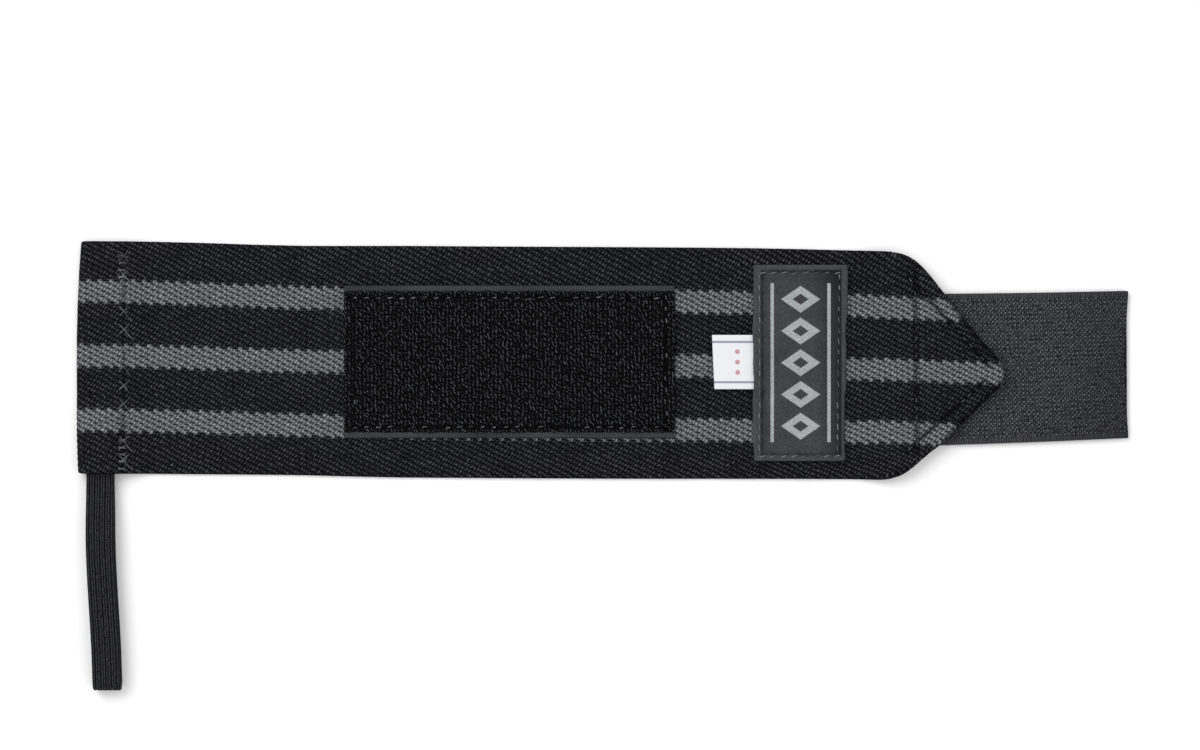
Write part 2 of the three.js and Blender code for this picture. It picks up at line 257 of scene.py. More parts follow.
def linear(colour):
    """An sRGB colour from 0 to 255 as Blender's linear colour. Sockets pass through."""
    if isinstance(colour, bpy.types.NodeSocket):
        return colour
    shares = [channel / 255 for channel in colour]
    return (*(c / 12.92 if c <= 0.04045 else ((c + 0.055) / 1.055) ** 2.4 for c in shares), 1)


print("a mid grey of 128 is", round(linear((128,))[0], 3), "in linear light")

# %% [markdown]
# The floor is a large sheet just under the wrap, nearly white, so that it vanishes as a studio sweep does
# but still takes a faint shadow. It has a little grain, so that it isn't a flat colour. It isn't part of
# the object.

# %% Floor
FLOOR_HALF = 3000
FLOOR_DROP = 0.02
FLOOR_GRAIN = 60
FLOOR_TONES = ((243, 243, 243), (247, 247, 247))

floor_finish = Finish("studio_floor", roughness=0.9, specular=0.2)
floor_x, floor_y, _ = floor_finish.place()
grain = floor_finish.noise(floor_x, floor_y, FLOOR_GRAIN, 2, 0) + 0.5
floor_half = FLOOR_HALF * MM
sides = ((-1, -1), (1, -1), (1, 1), (-1, 1))
corners = [(x * floor_half, y * floor_half, -FLOOR_DROP * MM) for x, y in sides]
floor_mesh = bpy.data.meshes.new("floor")
floor_mesh.from_pydata(corners, [], [(0, 1, 2, 3)])
floor_mesh.materials.append(floor_finish.paint(floor_finish.mix(grain, *FLOOR_TONES)))
add_object("floor", floor_mesh)
print("floor", 2 * floor_half, "m wide")

# %% [markdown]
# To lay cloth on a solid, the script must ask where the solid is. A BVH tree tells quickly where a straight
# line first meets the faces: from above that gives a height, and from the side an edge. Slicing the solid's
# edges at one x tells how far it reaches each way there.

# %% Asking the solids
FAR = 1000.0
LEVEL = 1e-6


class Solid:
    """One solid of the frame, in millimetres, and the questions that the cloth asks of it."""

    def __init__(self, node):
        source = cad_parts[node]
        self.points = np.array([source.matrix_world @ v.co for v in source.data.vertices]) / MM
        self.edges = np.array([edge.vertices[:] for edge in source.data.edges])
        self.low, self.high = self.points.min(axis=0), self.points.max(axis=0)
        self.size, self.middle = self.high - self.low, (self.low + self.high) / 2
        faces = [face.vertices[:] for face in source.data.polygons]
        self.tree = BVHTree.FromPolygons(self.points.tolist(), faces)

    def meet(self, start, way, missing):
        hit = self.tree.ray_cast(Vector(start), Vector(way))[0]
        return missing if hit is None else hit

    def top(self, x, y, missing=0.0):
        return self.meet((x, y, FAR), (0, 0, -1), Vector((x, y, missing))).z

    def bottom(self, x, y, missing=0.0):
        return self.meet((x, y, -FAR), (0, 0, 1), Vector((x, y, missing))).z

    def slice(self, x, axis=0, across=1):
        """Lowest and highest y (or the other way round) where the solid crosses one x."""
        a, b = self.points[self.edges[:, 0]], self.points[self.edges[:, 1]]
        crossing = (a[:, axis] - x) * (b[:, axis] - x) <= 0
        a, b = a[crossing], b[crossing]
        run = b[:, axis] - a[:, axis]
        share = (x - a[:, axis]) / np.where(np.abs(run) < LEVEL, 1.0, run)
        values = a[:, across] + share * (b[:, across] - a[:, across])
        return values.min(), values.max()


solids = {node: Solid(node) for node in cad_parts}
for node, solid in solids.items():
    print(node, "from", solid.low.round(1), "to", solid.high.round(1))

# %% [markdown]
# Every soft piece is a long strip with a section that changes little, so one helper makes them all: a stack
# of rings, joined by four-sided faces and closed at both ends. Each point keeps its place on the cloth as a
# UV map, so that a weave can follow the strip round a fold.

# %% Strips from rings
def volume(mesh):
    """The volume inside the faces, below 0 where they look inwards."""
    body = bmesh.new()
    body.from_mesh(mesh)
    signed = body.calc_volume(signed=True)
    body.free()
    return signed


def strip(name, rings, cloth, finish):
    """A closed body from rings of points (stations, ring, 3) and their places on the cloth."""
    stations, count = rings.shape[:2]
    first = np.arange(stations - 1)[:, None] * count
    here = np.arange(count)
    after = (here + 1) % count
    sides = np.stack([first + here, first + after, first + count + after, first + count + here], axis=-1)
    last = (stations - 1) * count
    ends = [list(range(count))[::-1], list(range(last, last + count))]
    mesh = bpy.data.meshes.new(name)
    mesh.from_pydata((rings.reshape(-1, 3) * MM).tolist(), [], sides.reshape(-1, 4).tolist() + ends)
    if volume(mesh) < 0:
        mesh.flip_normals()
    corners = [corner.vertex_index for corner in mesh.loops]
    mesh.uv_layers.new(name="cloth").data.foreach_set("uv", (cloth.reshape(-1, 2)[corners] * MM).ravel())
    mesh.shade_smooth()
    mesh.materials.append(finish)
    return add_object(name, mesh)


def dress(piece, slot, *nodes):
    """The piece stands for these solids and rides with the part. The slot is not used."""
    if nodes:
        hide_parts(*nodes)
    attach(piece, "root")
    print(piece.name, "has", sum(len(face.vertices) - 2 for face in piece.data.polygons), "triangles")


print("strip helpers ready")

# %% [markdown]
# A cloth starts as a grid of points on its upper face: stations along it and columns across it. These
# helpers measure such a grid, and smooth away the facets of the solids below.

# %% Measuring a grid
def unit(vectors):
    return vectors / np.linalg.norm(vectors, axis=-1, keepdims=True)


def ease(value, start, end):
    """0 up to start, 1 from end on, and a smooth rise between."""
    t = np.clip((np.asarray(value, dtype=float) - start) / (end - start), 0, 1)
    return t * t * (3 - 2 * t)


def softened(heights, reach):
    """Heights averaged with their neighbours along the first axis."""
    kernel = np.hanning(2 * reach + 3)[1:-1]
    kernel /= kernel.sum()
    padded = np.pad(heights, ((reach, reach), (0, 0)), mode="edge")
    return np.apply_along_axis(lambda lane: np.convolve(lane, kernel, mode="valid"), 0, padded)


def distances(points):
    """How far along a line of points each one is."""
    return np.append(0, np.linalg.norm(np.diff(points, axis=0), axis=1).cumsum())


def surface_normals(grid):
    """Unit normals of a grid of points, on the side where along x across points."""
    return unit(np.cross(np.gradient(grid, axis=0), np.gradient(grid, axis=1)))


def places_on(along, across):
    """The cloth's places for a grid, from a value for each station and one for each column."""
    return np.stack(np.broadcast_arrays(along[:, None], across[None]), axis=-1)


def chosen(count, kept):
    """Which of so many columns are kept, evenly spread and with both ends."""
    return np.unique(np.linspace(0, count - 1, kept).round().astype(int))


def round_end(depth, least):
    """The half-height of a round end from its tip, at depth 0, to its full height, at depth 1."""
    return np.sqrt(np.clip(1 - (1 - np.clip(depth, 0, 1)) ** 2, least, 1))


print("grid helpers ready")

# %% [markdown]
# A cut edge of cloth is round, and a square one would catch the light as a hard line. So each ring goes over
# the top, round one edge, back underneath with fewer points, and round the other edge. Both ends of the
# strip thin out in the same way.

# %% Cloth from a grid
EDGE_TURNS = np.radians([45, 90, 135])
UNDER_COUNT = 12
THINNEST_END = 0.04
END_SHARES = np.array([0, 0.08, 0.3, 0.6])


def ring_section(top, normals, thickness, inset, picked):
    """Rings round a cloth: top and normals are (stations, columns, 3), thickness and inset one a station."""
    under = (top - normals * thickness[:, None, None])[:, picked]

    def edge(last, inner, turns):
        outwards = unit(top[:, last] - top[:, inner])
        middle = (top[:, last] + under[:, last]) / 2
        up = (top[:, last] - under[:, last]) / 2
        arc = [middle + up * math.cos(a) + outwards * inset[:, None] * math.sin(a) for a in turns]
        return np.stack(arc, axis=1)

    far, near = edge(-1, -2, EDGE_TURNS), edge(0, 1, EDGE_TURNS[::-1])
    return np.concatenate([top, far, under[:, ::-1], near], axis=1)


def ring_places(places, picked, turn):
    """The cloth's places for such rings. Round an edge they run on outwards by turn and back."""
    bulge = np.array([[0, 0.5], [0, 1], [0, 0.5]]) * turn
    under = places[:, picked][:, ::-1]
    return np.concatenate([places, places[:, -1:] + bulge, under, places[:, :1] - bulge], axis=1)


def cloth_piece(name, top, places, thickness, finish):
    """A closed cloth under a grid of top points, with rounded edges and ends."""
    normals = surface_normals(top)
    run = distances(top[:, top.shape[1] // 2])
    share = round_end(np.minimum(run, run[-1] - run) / (thickness / 2), THINNEST_END)
    top = top - normals * (thickness * (1 - share) / 2)[:, None, None]
    picked = chosen(top.shape[1], UNDER_COUNT)
    rings = ring_section(top, normals, thickness * share, thickness * share / 2, picked)
    return strip(name, rings, ring_places(places, picked, thickness * math.pi / 4), finish)


def with_ends(low, high, step, thickness):
    """Stations from low to high, closer together at both ends so that the ends come out round."""
    inner = np.linspace(low + thickness / 2, high - thickness / 2, max(2, round((high - low) / step)))
    close = thickness / 2 * END_SHARES
    return np.concatenate([low + close, inner, (high - close)[::-1]])


print("each ring has", 2 * len(EDGE_TURNS), "points on its edges and", UNDER_COUNT, "below")

# %% [markdown]
# The band is heavy elastic webbing, 3 inches wide. Its face shows short floats of yarn on a staggered
# lattice, each two rows tall and split into two slanted lobes. Yarn by yarn that would cost millions of
# faces, and a picture of it would look flat from the side. So the mesh has its points on the lattice and
# lifts those on a float, and the finish draws the lobes from the same sizes.

# %% The weave's lattice
BAND_WIDTH = 76.2
ROWS = 83
ROW = BAND_WIDTH / ROWS
FLOAT_PITCH = 3.72
FLOAT_REACH = (1.15, 0.86)
FLOAT_SHIFTS = ((0, 0), (FLOAT_PITCH / 2, ROW))
STRIPE_PITCH = 23 * ROW
STRIPE_HALF = 4.2 * ROW


def wrapped(value, pitch):
    return value - pitch * np.round(value / pitch)


def float_height(along, across):
    """Height of the woven floats, from 0 to 1, at a place on the cloth."""
    height = np.zeros(np.broadcast(along, across).shape)
    for shift_along, shift_across in FLOAT_SHIFTS:
        du = wrapped(along + shift_along, FLOAT_PITCH) / FLOAT_REACH[0]
        dv = wrapped(across + shift_across, 2 * ROW) / FLOAT_REACH[1]
        height = np.maximum(height, 1 - du**2 - dv**2)
    return height


print("rows of", round(ROW, 3), "mm; a float every", FLOAT_PITCH, "mm")

# %% [markdown]
# The finish draws each float's two lobes on the lattice, and takes a float's colour from its own row, so the
# grey stripes get the scalloped edges of real webbing.

# %% Webbing's floats
LOBE_OFFSET = (0.43, -0.2)
LOBE_ANGLE = math.radians(47)
LOBE_REACH = (0.5, 0.27)
FLOAT_BODY = (1.05, 0.66)
FLOAT_SLOPE = LOBE_OFFSET[1] / LOBE_OFFSET[0]


def oval(x, y, angle, reach):
    """The squared distance from the middle of a turned oval, 1 on its rim."""
    along = (x * math.cos(angle) + y * math.sin(angle)) * (1 / reach[0])
    across = (y * math.cos(angle) - x * math.sin(angle)) * (1 / reach[1])
    return along * along + across * across


def woven_lobes(finish, u, v):
    """For each of the two sets of floats: its body, its lobes, whether it is in a stripe, and its dice."""
    found = []
    for shift_u, shift_v in FLOAT_SHIFTS:
        column = ((u + shift_u) / FLOAT_PITCH).rounded()
        row = ((v + shift_v) / (2 * ROW)).rounded()
        du = u + shift_u - column * FLOAT_PITCH
        centre_v = row * (2 * ROW) - shift_v
        dv = v - centre_v
        side = du.sign()
        lobe = 1 - oval(abs(du) - LOBE_OFFSET[0], dv * side - LOBE_OFFSET[1], LOBE_ANGLE, LOBE_REACH) * 0.5
        body = 1 - oval(du, dv - du * FLOAT_SLOPE, 0, FLOAT_BODY)
        from_middle = centre_v - BAND_WIDTH / 2
        striped = abs(from_middle - from_middle.nearest(STRIPE_PITCH, 1)) < STRIPE_HALF
        found.append((body, lobe, striped, finish.dice(column * 2 + side, row, shift_u)))
    return found


def yarn_ties(u, v):
    """The grooves between rows of floats are bridged once in each float, so they read as a line of holes."""
    return (u / FLOAT_PITCH - v / (2 * ROW) - 0.25).wave(1) * 0.5 + 0.5


print("each float's lobes lean by", round(math.degrees(LOBE_ANGLE)), "degrees")

# %% [markdown]
# On real webbing no two floats catch the light alike, and a picture of cloth would repeat. So the finish
# adds up the lobes, painted highlights on the yarn's own tone, with a random value for each float and soft
# noise that nudges the lattice. The gaps between floats get painted shade, and so do seams and rims. The
# lobes also give the bump.

# %% Webbing finish
# Painted shade at seams and rims, and yarn tones that run from painted shade in the gaps to painted
# highlights on the lobes.
CREASE_SHADE = 0.9
RIM_FACING = (0.2, 0.75)
LANE_TONES = ((1, 1, 3), (84, 85, 88))
STRIPE_TONES = ((15, 16, 19), (154, 155, 158))


def webbing_finish():
    finish = Finish("striped_webbing", roughness=0.85, specular=0.05)
    u, v = finish.cloth()
    u_drawn = u + finish.noise(u, v, 6, 2, 3) * 1.6 + finish.noise(u, v, 1.2, 1, 5) * 0.75
    v_drawn = v + finish.noise(u, v, 5, 2, 7) * 0.9 + finish.noise(u, v, 1.4, 1, 9) * 0.5
    first, second = woven_lobes(finish, u_drawn, v_drawn)
    pick = first[0] > second[0]
    body, lobe, in_stripe, chance = (a * pick + b * (1 - pick) for a, b in zip(first, second))
    body, lobe = body.clamped(), lobe.clamped()
    tie = yarn_ties(u_drawn, v_drawn) * (1 - body.root())
    fibre = finish.noise(u * 3, v, 0.25, 3, 11)
    patchy = finish.noise(u, v, 9, 3, 21)
    strokes = finish.noise((u + v * 0.7) * 2.2, v - u * 0.5, 1.0, 2, 13)
    lane = body.root() * 0.03 + tie * 0.07 + lobe * (0.26 + chance * 0.4 + strokes * 1.5)
    lane = lane * (0.96 + patchy * 0.8) + fibre * 0.14
    bright = body.root() * 0.18 + tie * 0.26 + lobe * (0.46 + chance * 0.3 + strokes * 0.5) + fibre * 0.24
    # Painted shade: darker where the surface turns round a rim, and where the mesh marks a seam or the
    # point's rim.
    shade = finish.facing_flat(*RIM_FACING) * (1 - finish.crease_shade() * CREASE_SHADE)
    lane_colour = finish.mix((lane * shade).clamped(), *LANE_TONES)
    stripe_colour = finish.mix((bright * shade).clamped(), *STRIPE_TONES)
    colour = finish.mix(in_stripe, lane_colour, stripe_colour)
    return finish.paint(colour, height=body.root() * 0.7 + lobe * 0.5 + fibre * 0.4, depth=0.18)


webbing = webbing_finish()

# %% [markdown]
# From the shoulder on, the band's corners are folded under, so its section is two plies thick. A grid cut to
# that outline would have steps along its edges, so the columns fall on the lattice, two to a row, and follow
# the edges as they close in.

# %% The band's columns
PLY = 1.6
POINT_THICKNESS = 3.5
FLAP_START = 266.3
SHOULDER = FLAP_START - 2.7
INSET_RISE = 12
LEAST_HALF = 0.3
STRIPE_DRIFT = ((0, 0.7), (70, -0.3), (205, -1.0), (264, -1.5))
DRIFT_MARGIN = 12
JUST_INSIDE = 0.01

band = solids["elastic_band"]
fold_x, tip_x = band.low[0], band.high[0]
band_length = tip_x - fold_x
columns = np.arange(2, 2 * ROWS - 1) * ROW / 2
column_share = (columns - columns[0]) / (columns[-1] - columns[0])


def columns_at(along):
    """The y of each column at one distance from the fold, and how far the outer ones are from the edge."""
    low, high = band.slice(fold_x + min(along, band_length - JUST_INSIDE))
    rise = ease(along, FLAP_START - INSET_RISE, FLAP_START)
    inset = columns[0] + (POINT_THICKNESS / 2 - columns[0]) * rise
    inset = min(inset, (high - low) / 2 - LEAST_HALF)
    from_edge = np.minimum(columns, BAND_WIDTH - columns)
    drift = np.interp(along, *zip(*STRIPE_DRIFT)) * np.clip(from_edge / DRIFT_MARGIN, 0, 1)
    return low + inset + column_share * (high - low - 2 * inset) + drift * (high - low) / BAND_WIDTH, inset


def lattice_beyond_shoulder(along, y):
    """The place across the cloth in the point, where the cut edges close in but the yarns run straight on."""
    y_shoulder = columns_at(SHOULDER)[0]
    tip_low, tip_high = band.slice(tip_x - JUST_INSIDE)
    share = (along - SHOULDER) / (band_length - SHOULDER)
    lean = ((tip_low + tip_high) / 2 - np.interp(BAND_WIDTH / 2, columns, y_shoulder)) * share
    return np.interp(y, y_shoulder + lean, columns)


print("columns:", len(columns), "from the fold at", round(fold_x, 1), "to the tip at", round(tip_x, 1))

# %% [markdown]
# The band starts under itself: a short lower ply runs to the fold, turns up and over, and the upper ply runs
# on to the point, with six stations to a float. The fold bows a little, so each column starts from its own
# foremost point.

# %% The band's path
STATION = FLOAT_PITCH / 6
HEM_DEPTH = 16.5
TOP_START = 7 * STATION
BOW_REACH = 30
EDGE_MARGIN = 0.4
FOLD_HEIGHTS = (0.9, 1.5, 2.0, 2.6, 3.2)
FOLD_PROBE = 6
HEM_PROBE = 7
PATH_SOFTENING = 3
LOWER_STEPS = 12
FOLD_STEPS = 8
ENTRY_STEPS = 3


def left_edge(y):
    """Where the fold starts at one y. Lines sent in at several heights find its foremost point."""
    y = float(np.clip(y, band.low[1] + EDGE_MARGIN, band.slice(fold_x + FOLD_PROBE)[1] - EDGE_MARGIN))
    return min(band.meet((-FAR, y, z), (1, 0, 0), Vector((fold_x, y, z))).x for z in FOLD_HEIGHTS)


def band_path():
    """The cloth's outer face: points (stations, columns, 3), places on the cloth, and each station's run."""
    y_hem = columns_at(TOP_START)[0]
    bow = np.array([left_edge(y) for y in y_hem]) - fold_x
    hem_top = np.array([band.top(fold_x + HEM_PROBE + b, y) for y, b in zip(y_hem, bow)])
    radius = softened(hem_top[:, None], PATH_SOFTENING)[:, 0] / 2
    points, places, runs = [], [], []

    def bowed(run):
        return fold_x + run + bow * (1 - ease(run, 0, BOW_REACH))

    def add(run, z, along, y=y_hem, across=columns):
        points.append(np.stack([bowed(run), y, z], axis=1))
        places.append(np.stack([along + 0 * y, across], axis=1))
        runs.append(float(np.mean(run)))

    for share in np.linspace(0, 1, LOWER_STEPS, endpoint=False):
        run = HEM_DEPTH + (radius - HEM_DEPTH) * share
        add(run, 0 * run, radius * (1 - math.pi) - (run - radius))
    for angle in np.linspace(0, math.pi, FOLD_STEPS + 1):
        add(radius * (1 - math.sin(angle)), radius * (1 - math.cos(angle)), radius * (1 - math.pi + angle))
    under_count = len(points)
    for share in np.linspace(0, 1, ENTRY_STEPS, endpoint=False)[1:]:
        run = radius + (TOP_START - radius) * share
        add(run, 2 * radius, run)
    for run in np.arange(TOP_START, band_length - PLY / 2, STATION):
        y = columns_at(run)[0]
        across = lattice_beyond_shoulder(run, y) if run > SHOULDER else columns
        z = np.array([band.top(*place, missing=hem_top[0]) for place in zip(bowed(run), y)])
        add(np.full(len(y), run), z, run, y, across)
    points, places = np.array(points), np.array(places)
    points[under_count:, :, 2] = softened(points[under_count:, :, 2], PATH_SOFTENING)
    return points, places, np.array(runs), under_count


face, places, runs, under_count = band_path()
print("stations:", len(runs), "of which", under_count, "under the hem and round its fold")

# %% [markdown]
# Sewing pulls cloth down. Along each seam the band gets a shallow valley, and between the seams it waves a
# little, as worn webbing does. The seams are listed once and used twice: here for the valleys, and later for
# the thread.

# %% Seams in the band
HEM_SEAM = 15.6
HEM_SEAM_MARGIN = 1.2
POINT_SEAMS_PX = {
    "point_back": ((914, 272), (916, 452)),
    "point_upper": ((907, 277), (989, 367)),
    "point_lower": ((906, 451), (983, 381)),
}
VALLEY_WIDTH = 1.0
WAVES = ((47, 31, 0.16, 0.4), (23, 58, 0.11, 2.1), (71, 17, 0.07, 4.0))


def photo_seams(pixels):
    """Straight seams, each two ends in the part's own millimetres, from their ends in the photograph."""
    return {name: tuple(photo_to_part(*end) for end in ends) for name, ends in pixels.items()}


def near_seams(x, y, seams, reach):
    """How near each place is to a set of straight seams, from 0 far off to 1 on one."""
    pull = np.zeros(np.shape(x))
    for (x0, y0), (x1, y1) in seams.values():
        run = (x1 - x0, y1 - y0)
        share = np.clip(((x - x0) * run[0] + (y - y0) * run[1]) / (run[0] ** 2 + run[1] ** 2), 0, 1)
        gap = np.hypot(x - x0 - share * run[0], y - y0 - share * run[1])
        pull = np.maximum(pull, np.exp(-((gap / reach) ** 2)))
    return pull


def waviness(x, y, waves=WAVES):
    """A sum of slow waves, each with its length along and across the cloth, its size and its phase."""
    return sum(size * np.sin(TURN * (x / long + y / wide) + phase) for long, wide, size, phase in waves)


hem_x = fold_x + HEM_SEAM
hem_low, hem_high = band.slice(hem_x)
seams = photo_seams(POINT_SEAMS_PX)
seams["hem"] = ((hem_x, hem_low + HEM_SEAM_MARGIN), (hem_x, hem_high - HEM_SEAM_MARGIN))
print("seams:", list(seams))

# %% [markdown]
# Now the relief: each point moves out from the surface by the height of the float that it stands on. The rim
# keeps less of it, because a selvedge is tight. At the tip the last stations thin out, because a square end
# would stand there like a board.

# %% The striped band
FLOAT_RELIEF = 0.22
RIM_RELIEF = 0.35
RIM_REACH = 1.2
VALLEY_DEPTH = 0.42
WAVE_SHARE = 0.5
TIP_ROUND = 1.0
TIP_THINNEST = 0.05
TIP_LEFT = 0.4
BAND_UNDER = chosen(len(columns), 19)

on_top = (np.arange(len(runs)) >= under_count)[:, None]


def striped_band():
    normals = surface_normals(face)
    relief = (float_height(places[..., 0], places[..., 1]) - 0.5) * FLOAT_RELIEF
    from_edge = np.minimum(column_share, 1 - column_share) * BAND_WIDTH
    relief = relief * (RIM_RELIEF + (1 - RIM_RELIEF) * ease(from_edge, 0, RIM_REACH))
    x, y = face[..., 0], face[..., 1]
    valley = near_seams(x, y, seams, VALLEY_WIDTH) * VALLEY_DEPTH
    sunk = valley * on_top - waviness(x, y) * on_top * WAVE_SHARE
    thickness = np.where(runs < FLAP_START, PLY, POINT_THICKNESS)
    inset = np.array([columns_at(run)[1] for run in np.maximum(runs, TOP_START)])
    rings = ring_section(face + normals * (relief - sunk)[..., None], normals, thickness, inset, BAND_UNDER)
    blunt = TIP_LEFT + (1 - TIP_LEFT) * round_end((band_length - runs) / TIP_ROUND, TIP_THINNEST)
    centre = rings.mean(axis=1, keepdims=True)[:, :, 2:]
    rings[:, :, 2:] = centre + (rings[:, :, 2:] - centre) * blunt[:, None, None]
    rings[..., 2] = np.maximum(rings[..., 2], 0)
    return rings


band_rings = striped_band()
band_cloth = ring_places(places, BAND_UNDER, PLY * math.pi / 4)
striped = strip("striped_band", band_rings, band_cloth, webbing)
dress(striped, "band_cloth", "elastic_band")

# %% [markdown]
# Cloth gets painted shade where it dips to a seam, and along the point's rim, where it turns down. The mesh
# stores that as an attribute, which the webbing's finish reads, so the shade stays on the cloth however the
# light falls. The painted shade is weaker at the hem's seam, so that seam stays paler.

# %% Painted shade at creases
HEM_SHADE = 0.55
RIM_SHADE = 0.85
RIM_SHADE_REACH = (0.8, 3.4)
POINT_WIDTHS = (44, 54)

x, y, z = band_rings.transpose(2, 0, 1)
low, high = y.min(axis=1)[:, None], y.max(axis=1)[:, None]
crease_shade = near_seams(x, y, seams, VALLEY_WIDTH) ** 2 * (z > PLY)
crease_shade *= HEM_SHADE + (1 - HEM_SHADE) * ease(x - fold_x, 2 * HEM_SEAM, 3 * HEM_SEAM)
# Painted shade along the point's rim, only where the point narrows.
rim = (1 - ease(np.minimum(y - low, high - y), *RIM_SHADE_REACH)) * (1 - ease(high - low, *POINT_WIDTHS))
crease_shade = np.maximum(crease_shade, rim * RIM_SHADE) * on_top
striped.data.attributes.new("crease_shade", "FLOAT", "POINT").data.foreach_set("value", crease_shade.ravel())
print("creases on", int((crease_shade > 0.5).sum()), "of", crease_shade.size, "points")

# %% [markdown]
# The thumb loop is narrow elastic, laid back on itself so that it stands open at its outer end. Its ribs run
# along the strap and round its bend, so one ribbed section is carried along the path: out on the upper leg,
# round the bend and home on the lower.

# %% Thumb loop's path
STRAP_WIDTH = 9.5
STRAP_THICKNESS = 1.1
STRAP_STEP = 0.8
LEG_START = 0.05
BEND_STEPS = 18

loop = solids["thumb_loop"]


def strap_line():
    """The strap's outer face down its middle: (y, z) points and the way that the face looks, (y, z)."""
    half = STRAP_THICKNESS / 2
    radius = loop.size[2] / 2 - half
    bend_y = loop.low[1] + half + radius
    legs = np.arange(loop.high[1] - LEG_START, bend_y, -STRAP_STEP)
    middle = [np.mean(loop.slice(y, axis=1, across=0)) for y in legs]
    upper = np.array([(y, loop.top(x, y)) for x, y in zip(middle, legs)])
    lower = np.array([(y, loop.bottom(x, y)) for x, y in zip(middle, legs)])[::-1]
    angles = np.linspace(math.pi / 2, -math.pi / 2, BEND_STEPS)
    around = np.stack([-np.cos(angles), np.sin(angles)], axis=1)
    bend = np.array([bend_y, loop.low[2] + radius + half]) + around * (radius + half)
    line = np.concatenate([softened(upper, 2), bend, softened(lower, 2)])
    along = np.gradient(line, axis=0)
    return line, unit(np.stack([along[:, 1], -along[:, 0]], axis=1))


print("thumb loop reaches to y", round(loop.low[1], 1), "and stands", round(loop.high[2], 1), "mm high")

# %% [markdown]
# Elastic shows pale ridges and near-black grooves, drawn as painted shade in the grooves and a painted
# highlight, partly the yarn's own tone, on the ridges. The finish takes both from the ribs' pitch, and breaks
# the ridges into short dashes, which is how the crossing threads show.

# %% Thumb elastic finish
RIB_PITCH = 0.86
CROSSING_PITCH = 0.74
ELASTIC_TONES = ((6, 6, 8), (78, 79, 82))


def elastic_finish():
    finish = Finish("thumb_elastic", roughness=0.8, specular=0.06)
    along, across = finish.cloth()
    across = across + finish.noise(along, across, 7, 1, 2) * 0.12
    ridge = abs(across.wave(2 * RIB_PITCH))
    deep = 1 - abs(across - across.nearest(2 * RIB_PITCH)).ramp(0.06, 0.34)
    dash = finish.noise(along * 1.4, across * 2.6, 0.6, 3, 5)
    crossing = along.wave(CROSSING_PITCH) * 0.12
    # Painted light: the grooves get painted shade, and the ridges are partly a painted highlight.
    light = ((ridge - 0.2) * (0.44 + dash * 2.6 + crossing) * (1 - deep)).clamped()
    height = ridge * 0.6 - deep * 0.5 + crossing + dash * 0.5
    return finish.paint(finish.mix(light, *ELASTIC_TONES), height=height, depth=0.12)


elastic = elastic_finish()

# %% [markdown]
# The strap's ribs are its elastic threads, side by side. As a bump alone they would look flat where the
# strap bends, so the mesh carries them as a rounded wave, and every second groove is deeper.

# %% Thumb loop
RIB_RELIEF = 0.13
RIB_ROUNDNESS = 0.6
GROOVE_REACH = 0.2
GROOVE_DEPTH = 0.7
STRAP_COLUMNS = 45
BEND_PROBE = 2


def rib_height(across):
    fine = np.abs(np.sin(math.pi * across / RIB_PITCH)) ** RIB_ROUNDNESS
    return fine - np.exp(-((wrapped(across, 2 * RIB_PITCH) / GROOVE_REACH) ** 2)) * GROOVE_DEPTH


def strap_grid():
    line, ways = strap_line()
    across = np.linspace(-1, 1, STRAP_COLUMNS) * (STRAP_WIDTH - STRAP_THICKNESS) / 2
    middle = [np.mean(loop.slice(max(y, loop.low[1] + BEND_PROBE), axis=1, across=0)) for y in line[:, 0]]
    top = np.empty((len(line), len(across), 3))
    top[..., 0] = np.array(middle)[:, None] + across
    top[..., 1:] = line[:, None] + ways[:, None] * ((rib_height(across) - 1) * RIB_RELIEF)[None, :, None]
    return top, places_on(distances(line), across)


strap_top, strap_places = strap_grid()
strap = cloth_piece("thumb_strap", strap_top, strap_places, STRAP_THICKNESS, elastic)
dress(strap, "loop_elastic", "thumb_loop")

# %% [markdown]
# The hook tab is woven nylon tape, 2 inches wide. Its back shows fine ribs, broken by pale and dull floats
# that lean different ways, and a tight ribbed selvedge on both sides.

# %% Hook tape finish
TAPE_WIDTH = 50.0
TAPE_PITCH = 1.42
SELVEDGE = 1.9
FIELD_HALF = TAPE_WIDTH / 2 - SELVEDGE
SELVEDGE_PITCH = 0.78
PALE_SPECK = (0, math.radians(24), (0.42, 0.3))
DULL_SPECK = (TAPE_PITCH / 2, math.radians(78), (0.5, 0.24))
TAPE_TONES = ((10, 10, 12), (103, 104, 107))


def speck(finish, u, v, shift, angle, reach):
    """An oval float in each cell of the tape, turned by the angle, and its own dice."""
    column = ((u + shift) / TAPE_PITCH).rounded()
    row = ((v + shift) / TAPE_PITCH).rounded()
    far = oval(u + shift - column * TAPE_PITCH, v + shift - row * TAPE_PITCH, angle, reach)
    return (1 - far).clamped(), finish.dice(column, row, shift)


